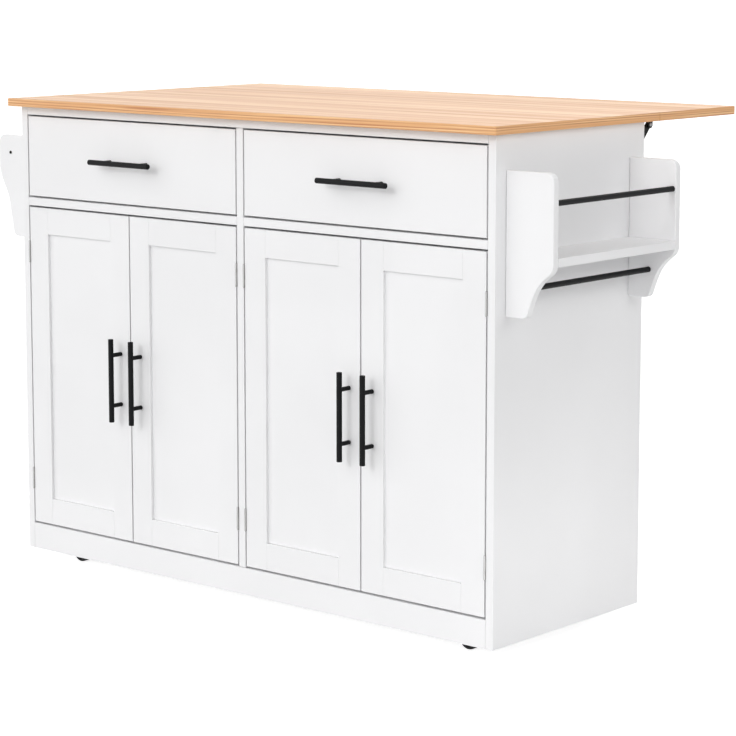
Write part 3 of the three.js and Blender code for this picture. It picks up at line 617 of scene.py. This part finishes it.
def make_hinge(number, level, hinge_side):
    """The fixed half of a hinge with its pin, and its moving half on the door."""
    node = f"door_hinge_{number}_{level}"
    axis = joint_place[f"door_{number}_swing"]
    low, high = (corner.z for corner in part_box(node))
    third = (high - low) / 3
    gap = HINGE_SLACK
    outer = [(low, low + third - gap), (high - third + gap, high)]
    middle = [(low + third + gap, high - third - gap)]
    fixed = bmesh.new()
    add_hinge_half(fixed, axis, low, high, hinge_side, outer)
    for z, up in ((low, -1), (high, 1)):
        add_dome(fixed, PIN_HEAD_RADIUS, PIN_HEAD_RISE, (axis.x, axis.y, z), (0, 0, up))
    finish_piece(fixed, f"hinge_{number}_{level}_fixed_half", [node])
    moving = bmesh.new()
    add_hinge_half(moving, axis, low, high, -hinge_side, middle)
    name = f"hinge_{number}_{level}_door_half"
    finish_piece(moving, name, [f"door_{number}"], slot="hinge_steel")


def make_door(number):
    """A framed door of two full-height stiles, two rails between them and a recessed panel."""
    node = f"door_{number}"
    hinge_side = -1 if number % 2 else 1
    axis = joint_place[f"door_{number}_swing"]
    low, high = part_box(node)
    low.y = front_y
    low.z += DOOR_RELIEF[0]
    high.z -= DOOR_RELIEF[1]
    if hinge_side < 0:
        low.x = axis.x + DOOR_GAP
    else:
        high.x = axis.x - DOOR_GAP
    x0, x1 = low.x + DOOR_FRAME, high.x - DOOR_FRAME
    z0, z1 = low.z + DOOR_FRAME, high.z - DOOR_FRAME
    rails = bmesh.new()
    add_board(rails, low, (x0, high.y, high.z), FRAME_EDGE)
    add_board(rails, (x1, low.y, low.z), high, FRAME_EDGE)
    left, right = x0 + BOARD_JOINT, x1 - BOARD_JOINT
    add_board(rails, (left, low.y, low.z), (right, high.y, z0), FRAME_EDGE)
    add_board(rails, (left, low.y, z1), (right, high.y, high.z), FRAME_EDGE)
    finish_piece(rails, f"{node}_frame", [node])
    panel = bmesh.new()
    face_y = low.y + PANEL_RECESS
    step_y, back_y = face_y + PANEL_STEP, face_y + PANEL_THICK
    for start_y, end_y, past_stiles, past_rails in (
        (step_y, back_y, PANEL_TONGUE, PANEL_TONGUE),
        (face_y, (step_y + back_y) / 2, PANEL_TONGUE / 2, -PANEL_GROOVE),
    ):
        first = (x0 - past_stiles, start_y, z0 - past_rails)
        add_board(panel, first, (x1 + past_stiles, end_y, z1 + past_rails), FRAME_EDGE)
    finish_piece(panel, f"{node}_panel", [node])
    for level in ("lower", "upper"):
        make_hinge(number, level, hinge_side)


def make_handle(node, seat_y, back_y):
    """A bar handle on two posts, with the heads of its screws behind what it is fixed to."""
    low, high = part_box(node)
    centre = (low + high) / 2
    upright = high.z - low.z > high.x - low.x
    along = Vector((0, 0, 1)) if upright else Vector((1, 0, 0))
    half = max(high.z - low.z, high.x - low.x) / 2
    bar = Vector((centre.x, low.y + HANDLE_RADIUS, centre.z))
    shape = bmesh.new()
    add_rod(shape, HANDLE_RADIUS, bar - along * half, bar + along * half, HANDLE_EASE, sides=40)
    screws = bmesh.new()
    for side in (-1, 1):
        post = bar + along * side * POST_HALF_SPACING
        add_rod(shape, POST_RADIUS, post, (post.x, seat_y, post.z))
        add_screw(screws, (post.x, back_y, post.z), (0, 1, 0), *BOARD_SCREW)
    finish_piece(shape, f"{node}_bar", [node])
    finish_piece(screws, f"{node}_screws", body=body_of[node], slot="castor_steel")


def make_drawer_box(side):
    """A drawer box of four boards and a bottom let into them."""
    node = f"drawer_box_{side}"
    low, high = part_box(node)
    wall = DRAWER_WALL
    walls = bmesh.new()
    add_board(walls, low, (low.x + wall, high.y, high.z), FRAME_EDGE)
    add_board(walls, (high.x - wall, low.y, low.z), high, FRAME_EDGE)
    left, right = low.x + wall + BOARD_JOINT, high.x - wall - BOARD_JOINT
    add_board(walls, (left, low.y, low.z), (right, low.y + wall, high.z), FRAME_EDGE)
    add_board(walls, (left, high.y - wall, low.z), (right, high.y, high.z), FRAME_EDGE)
    finish_piece(walls, f"drawer_walls_{side}", [node])
    bottom = bmesh.new()
    inset = wall - DRAWER_GROOVE
    under = low.z + DRAWER_BOTTOM_RISE
    corner = (high.x - inset, high.y - inset, under + DRAWER_BOTTOM)
    add_board(bottom, (low.x + inset, low.y + inset, under), corner, FRAME_EDGE)
    finish_piece(bottom, f"drawer_bottom_{side}", [node])


for door_number in (1, 2, 3, 4):
    make_door(door_number)
    make_handle(f"door_handle_{door_number}", front_y, front_y + BOARD)
for drawer_side in ("left", "right"):
    make_drawer_box(drawer_side)
    box_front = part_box(f"drawer_box_{drawer_side}")[0].y
    make_handle(f"drawer_handle_{drawer_side}", front_y, box_front + DRAWER_WALL)

# ---------------------------------------------------------------- worktop and leaf

# Edges that turn by more than this run round a top's faces.
RIM_TURN = math.radians(60)
# Faces whose normal rises less than this have the edge band.
BANDED_BELOW = 0.8


def make_top(node, seam_end):
    """A top with two round corners away from the seam, laminate faces and banded edges."""
    low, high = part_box(node)
    shape = bmesh.new()
    edges = edges_at(add_cube(shape, low, high))
    seam_y = high.y if seam_end > 0 else low.y

    def off_seam(edge):
        return [abs(vert.co.y - seam_y) for vert in edge.verts]

    seam_edges = {edge for edge in edges if max(off_seam(edge)) < MM}
    uprights = {edge for edge in edges - seam_edges if climb(edge) > MM}
    round_edges(shape, seam_edges, SEAM_EDGE, segments=2)
    round_edges(shape, uprights, TOP_CORNER, segments=10)
    rims = []
    for edge in shape.edges:
        off_face = min(abs(edge.verts[0].co.z - z) for z in (low.z, high.z))
        level = climb(edge) < LEVEL_SLACK and off_face < LEVEL_SLACK
        if level and max(off_seam(edge)) > SEAM_REACH and edge.calc_face_angle(0) > RIM_TURN:
            rims.append(edge)
    round_edges(shape, rims, TOP_EDGE, segments=4)
    piece = finish_piece(shape, f"{node}_board", [node])
    piece.data.materials.append(EDGE_BAND)
    for face in piece.data.polygons:
        if abs(face.normal.z) < BANDED_BELOW:
            face.material_index = 1


make_top("worktop", 1)
make_top("drop_leaf", -1)

# ---------------------------------------------------------------- leaf brackets

seam = joint_place["leaf_fold"]
wall_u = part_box("back_panel")[1].y - seam.y


def from_seam(joint):
    """A joint's place in the brackets' side view."""
    return joint_place[joint].y - seam.y, joint_place[joint].z - seam.z


WALL_PIVOT = from_seam("lower_link_left_turn")
LEAF_PIVOT = from_seam("upper_link_left_turn")


def arc(centre, radius, start, end, steps=10):
    """Points along an arc between two angles in degrees."""
    angles = [math.radians(start + (end - start) * i / steps) for i in range(steps + 1)]
    u, v = centre
    return [(u + radius * math.cos(angle), v + radius * math.sin(angle)) for angle in angles]


# Across a bracket: where the wall arm's web, the two links' planes and the leaf arm's web start
HALF_PLATE = BRACKET_PLATE_WIDTH / 2
WALL_WEB = -HALF_PLATE
LOWER_PLANE = WALL_WEB + BRACKET_WEB + BRACKET_PLANE_GAP
UPPER_PLANE = LOWER_PLANE + LINK_THICK + BRACKET_PLANE_GAP
LEAF_WEB = UPPER_PLANE + LINK_THICK + BRACKET_PLANE_GAP


class Bracket:
    """The place of a folding bracket, with the rivets that go on each of its bodies."""

    def __init__(self, name):
        self.name = name
        self.middle_x = joint_place[f"lower_link_{name}_turn"].x
        self.side = 1 if self.middle_x > 0 else -1
        self.rivets = {part: bmesh.new() for part in ("wall", "leaf", "lower_link", "upper_link")}

    def spot(self, across, u, v):
        """A point of the side view at a place across the bracket."""
        return Vector((self.middle_x + self.side * across, seam.y + u, seam.z + v))

    def add_flat(self, shape, outline, across, thickness):
        """A flat part from its outline in the side view."""
        points = [self.spot(across, u, v) for u, v in outline]
        add_plate(shape, points, (self.side * thickness, 0, 0), METAL_EDGE)

    def add_strip(self, shape, first, last):
        """A strip between two opposite corners."""
        pairs = list(zip(self.spot(*first), self.spot(*last)))
        add_board(shape, [min(pair) for pair in pairs], [max(pair) for pair in pairs], METAL_EDGE)

    def add_rivet(self, part, across, pivot, toward):
        """A rivet's head at a pivot."""
        out = (toward * self.side, 0, 0)
        add_dome(self.rivets[part], RIVET_RADIUS, RIVET_RISE, self.spot(across, *pivot), out)


def make_wall_arm(bracket):
    """The arm on the cabinet's back, with its three screws, the pin at the seam and a rivet."""
    foot = WALL_PIVOT[1] - BRACKET_END
    web_edge = wall_u + BRACKET_WEB_DEPTH
    outline = [(wall_u, foot), (web_edge, foot)]
    outline += arc(WALL_PIVOT, LINK_HALF, -60, 60)
    outline += [(web_edge, WALL_PIVOT[1] + 2 * BRACKET_END), (web_edge, -2 * BRACKET_END)]
    outline += arc((0, 0), EAR_RADIUS, -50, 90) + [(wall_u, EAR_RADIUS)]
    shape = bmesh.new()
    bracket.add_flat(shape, outline, WALL_WEB, BRACKET_WEB)
    # The plate starts inside the web, so that the two make one angle profile with one outer edge.
    in_web = WALL_WEB + BRACKET_WEB / 2
    face_u = wall_u + BRACKET_PLATE
    bracket.add_strip(shape, (in_web, wall_u, foot), (HALF_PLATE, face_u, EAR_RADIUS))
    for share in WALL_SCREW_SHARES:
        place = bracket.spot(WALL_SCREW_ACROSS, face_u, foot + share * (EAR_RADIUS - foot))
        add_screw(shape, place, (0, 1, 0), *BRACKET_SCREW)
    finish_piece(shape, f"bracket_{bracket.name}_wall_arm", [f"bracket_wall_arm_{bracket.name}"])
    pin_reach = WALL_WEB - RIVET_RISE, LEAF_WEB + BRACKET_WEB + RIVET_RISE
    pin_ends = [bracket.spot(across, 0, 0) for across in pin_reach]
    add_rod(bracket.rivets["wall"], SEAM_PIN_RADIUS, *pin_ends)
    bracket.add_rivet("wall", WALL_WEB, WALL_PIVOT, -1)


def make_leaf_arm(bracket):
    """The arm under the leaf, with its three screws and a rivet."""
    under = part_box("drop_leaf")[0].z - seam.z
    web_edge = under - BRACKET_WEB_DEPTH
    start, end = EAR_RADIUS + EAR_GAP, LEAF_PIVOT[0] + BRACKET_END
    outline = arc((0, 0), EAR_RADIUS, 90, 315, steps=14)
    outline += [(start + BRACKET_WEB_DEPTH, web_edge), (LEAF_PIVOT[0] - LINK_HALF, web_edge)]
    outline += arc(LEAF_PIVOT, LINK_HALF, 180, 360) + [(LEAF_PIVOT[0] + LINK_HALF, web_edge)]
    outline += [(end, web_edge), (end, under), (start, under)]
    shape = bmesh.new()
    bracket.add_flat(shape, outline, LEAF_WEB, BRACKET_WEB)
    face_v = under - BRACKET_PLATE
    bracket.add_strip(shape, (-HALF_PLATE, start, face_v), (HALF_PLATE, end, under))
    for share in LEAF_SCREW_SHARES:
        place = bracket.spot(LEAF_SCREW_ACROSS, start + share * (end - start), face_v)
        add_screw(shape, place, (0, 0, -1), *BRACKET_SCREW)
    finish_piece(shape, f"bracket_{bracket.name}_leaf_arm", [f"bracket_leaf_arm_{bracket.name}"])
    bracket.add_rivet("leaf", LEAF_WEB + BRACKET_WEB, LEAF_PIVOT, 1)


def make_links(bracket):
    """The lower and the upper link, which lie in one line here and fold onto each other."""
    run, rise = LEAF_PIVOT[0] - WALL_PIVOT[0], LEAF_PIVOT[1] - WALL_PIVOT[1]
    slope = math.degrees(math.atan2(rise, run))
    length = math.hypot(run, rise)
    # With the leaf folded its pivot is this far above the wall's, and the links lie side by side.
    folded = -WALL_PIVOT[1] - LEAF_PIVOT[0]
    lower = (length + folded) / 2
    middle = (WALL_PIVOT[0] + lower * run / length, WALL_PIVOT[1] + lower * rise / length)
    for part, pivot, turn, across in (
        ("lower_link", WALL_PIVOT, slope, LOWER_PLANE),
        ("upper_link", LEAF_PIVOT, slope + 180, UPPER_PLANE),
    ):
        outline = arc(pivot, LINK_HALF, turn + 90, turn + 270)
        outline += arc(middle, LINK_HALF, turn - 90, turn + 90)
        shape = bmesh.new()
        bracket.add_flat(shape, outline, across, LINK_THICK)
        finish_piece(shape, f"bracket_{bracket.name}_{part}", [f"bracket_{part}_{bracket.name}"])
    bracket.add_rivet("lower_link", LOWER_PLANE, middle, -1)
    bracket.add_rivet("upper_link", UPPER_PLANE + LINK_THICK, middle, 1)


def make_bracket(side_name):
    """A folding bracket with all its rivets."""
    bracket = Bracket(side_name)
    make_wall_arm(bracket)
    make_leaf_arm(bracket)
    make_links(bracket)
    bodies = {"wall": "root", "leaf": "leaf"}
    for part, rivet in bracket.rivets.items():
        body = bodies.get(part, f"{part}_{side_name}")
        name = f"bracket_{side_name}_{part}_rivets"
        finish_piece(rivet, name, body=body, slot="castor_steel")


for bracket_side in ("left", "right"):
    make_bracket(bracket_side)

# ---------------------------------------------------------------- side racks


def bend(first, corner, last, steps=6):
    """Points along a curve from first to last that a corner pulls out."""
    first, corner, last = (Vector((*point, 0)) for point in (first, corner, last))
    handles = first.lerp(corner, 2 / 3), last.lerp(corner, 2 / 3)
    return [(p.x, p.y) for p in interpolate_bezier(first, *handles, last, steps + 1)]


def sweep(first, first_handle, last_handle, last, steps=16):
    """Points along a curve with two handles."""
    points = [Vector((*point, 0)) for point in (first, first_handle, last_handle, last)]
    return [(p.x, p.y) for p in interpolate_bezier(*points, steps + 1)]


def rack_outline(depth, lower_edge):
    """A rack side: square at the cabinet, round at its top outer corner, then its lower edge."""
    corner = (depth - RACK_CORNER, -RACK_CORNER)
    return [(0, 0)] + arc(corner, RACK_CORNER, 90, 0) + lower_edge


# The racks' lower edges, as distances out from the cabinet and up from the top of the side boards
spice_lower = sweep(*points_mm((92, -166), (64, -187), (58, -200), (46, -236)))
spice_edge = (
    bend(*points_mm((98, -152), (98, -160), (92, -166)))
    + spice_lower[1:-1]
    + bend(*points_mm((46, -236), (42.8, -244), (34, -244)))
    + points_mm((0, -244))
)
towel_edge = (
    sweep(*points_mm((98, -63), (95, -93), (75, -106), (71, -132)))
    + bend(*points_mm((60, -190), (56.8, -198), (48, -198)))
    + points_mm((0, -198))
)

for rack_name, rack_edge in (("spice", spice_edge), ("towel", towel_edge)):
    for rack_end in ("front", "rear"):
        rack_node = f"{rack_name}_side_{rack_end}"
        rack_low, rack_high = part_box(rack_node)
        outward = 1 if rack_low.x > 0 else -1
        against = rack_low.x if outward > 0 else rack_high.x
        spots = rack_outline(rack_high.x - rack_low.x, rack_edge)
        outline = [(against + outward * out, rack_low.y, rack_high.z + up) for out, up in spots]
        rack_shape = bmesh.new()
        add_plate(rack_shape, outline, (0, rack_high.y - rack_low.y, 0), RACK_EDGE, segments=3)
        finish_piece(rack_shape, f"{rack_node}_board", [rack_node])

for bar_node in ("spice_rail_bar", "spice_towel_bar", "towel_bar"):
    bar_low, bar_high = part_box(bar_node)
    bar_centre = (bar_low + bar_high) / 2
    bar_shape = bmesh.new()
    bar_ends = [(bar_centre.x, y, bar_centre.z) for y in (bar_low.y, bar_high.y)]
    add_rod(bar_shape, (bar_high.x - bar_low.x) / 2, *bar_ends, sides=40)
    finish_piece(bar_shape, f"{bar_node}_rod", [bar_node])

# The towel bar is held by a screw through each side board.
towel_bar_low, towel_bar_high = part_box("towel_bar")
towel_x = (towel_bar_low.x + towel_bar_high.x) / 2
towel_z = (towel_bar_low.z + towel_bar_high.z) / 2
towel_faces = (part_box("towel_side_front")[0].y, -1), (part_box("towel_side_rear")[1].y, 1)
towel_screws = bmesh.new()
for screw_y, screw_out in towel_faces:
    add_screw(towel_screws, (towel_x, screw_y, towel_z), (0, screw_out, 0), *RACK_SCREW)
# The screws take the black finish, which is painted shade: their dark stands in for the shade
# round a head sunk in its board.
finish_piece(towel_screws, "towel_bar_screws", body="root", slot="black_bracket")

# ---------------------------------------------------------------- castors

# The axle's nut and the wheel's hub and dish, as radius and place along the axle
NUT_PROFILE = points_mm((0, -0.5), (4.6, -0.5), (4.6, 1.0), (3.9, 1.5), (0, 1.5))
HUB_PROFILE = points_mm((3.3, 0), (5.6, 0), (6.2, -0.5), (7.4, -0.5), (8, 0), (8.8, 0))
DISH_PROFILE = points_mm((11.6, -1.6), (14.4, -1.6), (15.6, -0.4))


def make_castor_mount(place, x, y, pin_end):
    """A castor's plate, raceway and kingpin under the cabinet, and its four screws."""
    mount = bmesh.new()
    plate_under = bottom_under - PLATE_THICK
    first = (x - PLATE_HALF, y - PLATE_HALF, plate_under)
    square = add_cube(mount, first, (x + PLATE_HALF, y + PLATE_HALF, bottom_under))
    rising = {edge for edge in edges_at(square) if climb(edge) > MM}
    round_edges(mount, rising, PLATE_CORNER, segments=6)
    out, race = RACEWAY_RADIUS, RACEWAY_RISE
    ring = [(0, 0), (out - RACEWAY_FOOT, 0), (out, 0.3 * race), (out, 0.7 * race)]
    ring += [(out - RACEWAY_LIP, race), (0, race)]
    add_turned(mount, ring, (x, y, plate_under), (0, 0, -1), sides=36)
    head_rise = KINGPIN_HEAD[1]
    stem = (x, y, plate_under - race), (x, y, pin_end - head_rise)
    add_rod(mount, KINGPIN_RADIUS, *stem, sides=24)
    add_dome(mount, *KINGPIN_HEAD, (x, y, pin_end - head_rise / 2), (0, 0, -1), sides=24)
    for dx in (-PLATE_SCREW, PLATE_SCREW):
        for dy in (-PLATE_SCREW, PLATE_SCREW):
            add_screw(mount, (x + dx, y + dy, plate_under), (0, 0, -1), *BOARD_SCREW)
    finish_piece(mount, f"castor_mount_{place}", ["bottom_panel"], slot="castor_steel")


def make_castor_fork(place, x, y, top, outer, trail, axle):
    """A pressed fork: a crown over two cheeks, with the axle and its two nuts."""
    fork = bmesh.new()
    x0, x1 = sorted((x - trail * CROWN_BEHIND, x + trail * CROWN_AHEAD))
    crown = add_cube(fork, (x0, y - outer, top - CROWN_THICK), (x1, y + outer, top))
    round_edges(fork, edges_at(crown), CROWN_EDGE, segments=2)
    lap = top - CHEEK_LAP
    cheek = [(-CROWN_BEHIND, lap), (-CROWN_BEHIND, top - CHEEK_HEEL)]
    cheek += arc((CROWN_AHEAD, axle.z), CHEEK_END, 180, 360, steps=14) + [(CROWN_AHEAD, lap)]
    for inner_y in (y - outer, y + outer - FORK_PLATE):
        outline = [(x + trail * u, inner_y, v) for u, v in cheek]
        add_plate(fork, outline, (0, FORK_PLATE, 0), METAL_EDGE)
    # One nut is hexagonal, and the other one round.
    for side, sides in ((-1, 24), (1, 6)):
        nut_face = (axle.x, y + side * outer, axle.z)
        add_turned(fork, NUT_PROFILE, nut_face, (0, side, 0), sides)
    ends = [(axle.x, end_y, axle.z) for end_y in (y - outer, y + outer)]
    add_rod(fork, AXLE_RADIUS, *ends, sides=20)
    finish_piece(fork, f"castor_fork_{place}_pressing", [f"castor_fork_{place}"])


def make_castor_wheel(place, y, half, radius, axle):
    """A moulded wheel: a hub, a dished side, a rounded tyre edge and a fine line in its tread."""
    wheel = bmesh.new()
    side = [(out, half + along) for out, along in HUB_PROFILE + DISH_PROFILE]
    for step in range(5):
        turn = step * math.pi / 8
        inward = TYRE_EDGE * (1 - math.sin(turn))
        side.append((radius - inward, half - TYRE_EDGE * (1 - math.cos(turn))))
    side += [(radius, TREAD_LINE_HALF), (radius - TREAD_LINE_DEPTH, TREAD_LINE_FLOOR)]
    loop = side + [(out, -along) for out, along in reversed(side)] + side[:1]
    add_turned(wheel, loop, (axle.x, y, axle.z), (0, 1, 0), sides=48)
    finish_piece(wheel, f"castor_wheel_{place}_moulding", [f"castor_wheel_{place}"])


def make_castor(place):
    """A swivel castor: its mount under the cabinet, its fork with the axle, and its wheel."""
    swivel = joint_place[f"castor_{place}_swivel"]
    axle = joint_place[f"wheel_{place}_roll"]
    fork_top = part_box(f"castor_fork_{place}")[1].z
    wheel_low, wheel_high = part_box(f"castor_wheel_{place}")
    half, radius = (wheel_high.y - wheel_low.y) / 2, (wheel_high.z - wheel_low.z) / 2
    x, y = swivel.x, swivel.y
    trail = 1 if axle.x > x else -1
    make_castor_mount(place, x, y, fork_top - CROWN_THICK - KINGPIN_GAP)
    make_castor_fork(place, x, y, fork_top, half + FORK_CLEARANCE + FORK_PLATE, trail, axle)
    make_castor_wheel(place, y, half, radius, axle)


for castor_place in ("front_left", "front_right", "rear_left", "rear_right"):
    make_castor(castor_place)

# ---------------------------------------------------------------- floor, light and camera

FLOOR_HALF = 60
floor_shape = bmesh.new()
bmesh.ops.create_grid(floor_shape, x_segments=1, y_segments=1, size=FLOOR_HALF)
floor_mesh = bpy.data.meshes.new("studio_floor")
floor_shape.to_mesh(floor_mesh)
floor_shape.free()
floor = bpy.data.objects.new("studio_floor", floor_mesh)
bpy.context.scene.collection.objects.link(floor)
floor_material = bpy.data.materials.new("pale_studio_floor")
floor_material.use_nodes = True
floor_tree = floor_material.node_tree
floor_tree.nodes.clear()


def seen_straight(tree):
    """1 for rays from the camera, from a mirror or through glass, and 0 for all others."""
    ray = add_node(tree, "LightPath").outputs
    mirrored = computed(tree, "MAXIMUM", ray["Is Glossy Ray"], ray["Is Transmission Ray"])
    return computed(tree, "MAXIMUM", ray["Is Camera Ray"], mirrored)


# The floor's own light comes on top of the lamps' light on it, so that only the object's shadow
# falls below white.
FLOOR_GLOW = 0.86
glow_level = computed(floor_tree, "MULTIPLY", seen_straight(floor_tree), FLOOR_GLOW)
matt = add_node(floor_tree, "BsdfDiffuse", {"Color": linear("#CCCCCC")})
glow = add_node(floor_tree, "Emission", {"Color": linear("#FFFFFF"), "Strength": glow_level})
floor_sum = add_node(floor_tree, "AddShader", {0: matt.outputs[0], 1: glow.outputs[0]})
add_node(floor_tree, "OutputMaterial", {"Surface": floor_sum.outputs[0]})
floor_mesh.materials.append(floor_material)

# The level of the even light on the object from all round
AMBIENT = 0.21
world = bpy.data.worlds.new("studio")
bpy.context.scene.world = world
world.use_nodes = True
world_tree = world.node_tree
world_tree.nodes.clear()
sky_range = {"Value": seen_straight(world_tree), "To Min": AMBIENT, "To Max": 1.0}
sky_level = add_node(world_tree, "MapRange", sky_range).outputs[0]
sky = add_node(world_tree, "Background", {"Color": linear("#FFFFFF"), "Strength": sky_level})
add_node(world_tree, "OutputWorld", {"Surface": sky.outputs[0]})


def place_lamp(name, kind, place, aim, energy):
    """A lamp at a place that shines towards a point, and that no camera sees."""
    data = bpy.data.lights.new(name, kind)
    data.energy = energy
    lamp = bpy.data.objects.new(name, data)
    lamp.location = place
    lamp.rotation_euler = (Vector(place) - Vector(aim)).to_track_quat("Z", "Y").to_euler()
    lamp.visible_camera = False
    bpy.context.scene.collection.objects.link(lamp)
    return data


# Far soft lamps: where the light comes from, its level on a surface that faces it, and its
# spread in degrees
FAR_LAMPS = {
    "front_lamp": ((0, -0.92, 0.39), 0.13, 12),
    "front_left_lamp": ((-0.35, -0.9, 0.2), 0.7, 90),
    "front_right_lamp": ((0.35, -0.85, 0.45), 0.11, 90),
    "high_rear_lamp": ((-0.3, 0.45, 0.85), 0.09, 70),
    "low_rear_lamp": ((-0.55, 0.8, 0.15), 0.39, 60),
}
for lamp_name, (source, level, spread) in FAR_LAMPS.items():
    place_lamp(lamp_name, "SUN", source, (0, 0, 0), level * math.pi).angle = math.radians(spread)

# Soft boxes near the object: place, the point they shine towards, watts, width and height
SOFT_BOXES = {
    "high_side_box": ((1.9, -0.15, 1.4), (0.58, -0.15, 0.6), 8.9, 1.6, 0.8),
    "low_side_box": ((1.05, -0.2, 0.05), (0.58, -0.2, 0.15), 1.4, 1.4, 0.15),
    "low_left_box": ((-2.2, -0.1, 0.35), (-0.58, -0.1, 0.45), 4, 1.4, 0.5),
    "low_rear_box": ((-0.2, 2.2, 0.35), (0, 0.1, 0.45), 12, 1.6, 0.5),
}
for box_name, (place, aim, watts, width, height) in SOFT_BOXES.items():
    soft_box = place_lamp(box_name, "AREA", place, aim, watts)
    soft_box.shape = "RECTANGLE"
    soft_box.size = width
    soft_box.size_y = height

# The camera, as fitted to the photograph
PHOTO_WIDTH = 736
FOCAL_PIXELS = 2558.27
PRINCIPAL_POINT = (367.39, 301.82)
CAMERA_PLACE = (3.1544, -3.6219, 1.1974)
CAMERA_YAW = math.radians(40.90)
CAMERA_PITCH = math.radians(7.91)
SENSOR = 36.0
FAR_CLIP = 200

camera_data = bpy.data.cameras.new("photo_camera")
camera_data.sensor_width = SENSOR
camera_data.lens = FOCAL_PIXELS / PHOTO_WIDTH * SENSOR
camera_data.shift_x = 0.5 - PRINCIPAL_POINT[0] / PHOTO_WIDTH
camera_data.shift_y = PRINCIPAL_POINT[1] / PHOTO_WIDTH - 0.5
camera_data.clip_end = FAR_CLIP
camera = bpy.data.objects.new("photo_camera", camera_data)
camera.location = CAMERA_PLACE
ahead = math.cos(CAMERA_PITCH)
look = Vector(
    (-math.sin(CAMERA_YAW) * ahead, math.cos(CAMERA_YAW) * ahead, -math.sin(CAMERA_PITCH))
)
camera.rotation_euler = look.to_track_quat("-Z", "Y").to_euler()
bpy.context.scene.collection.objects.link(camera)
bpy.context.scene.camera = camera
bpy.context.scene.view_settings.view_transform = "Standard"
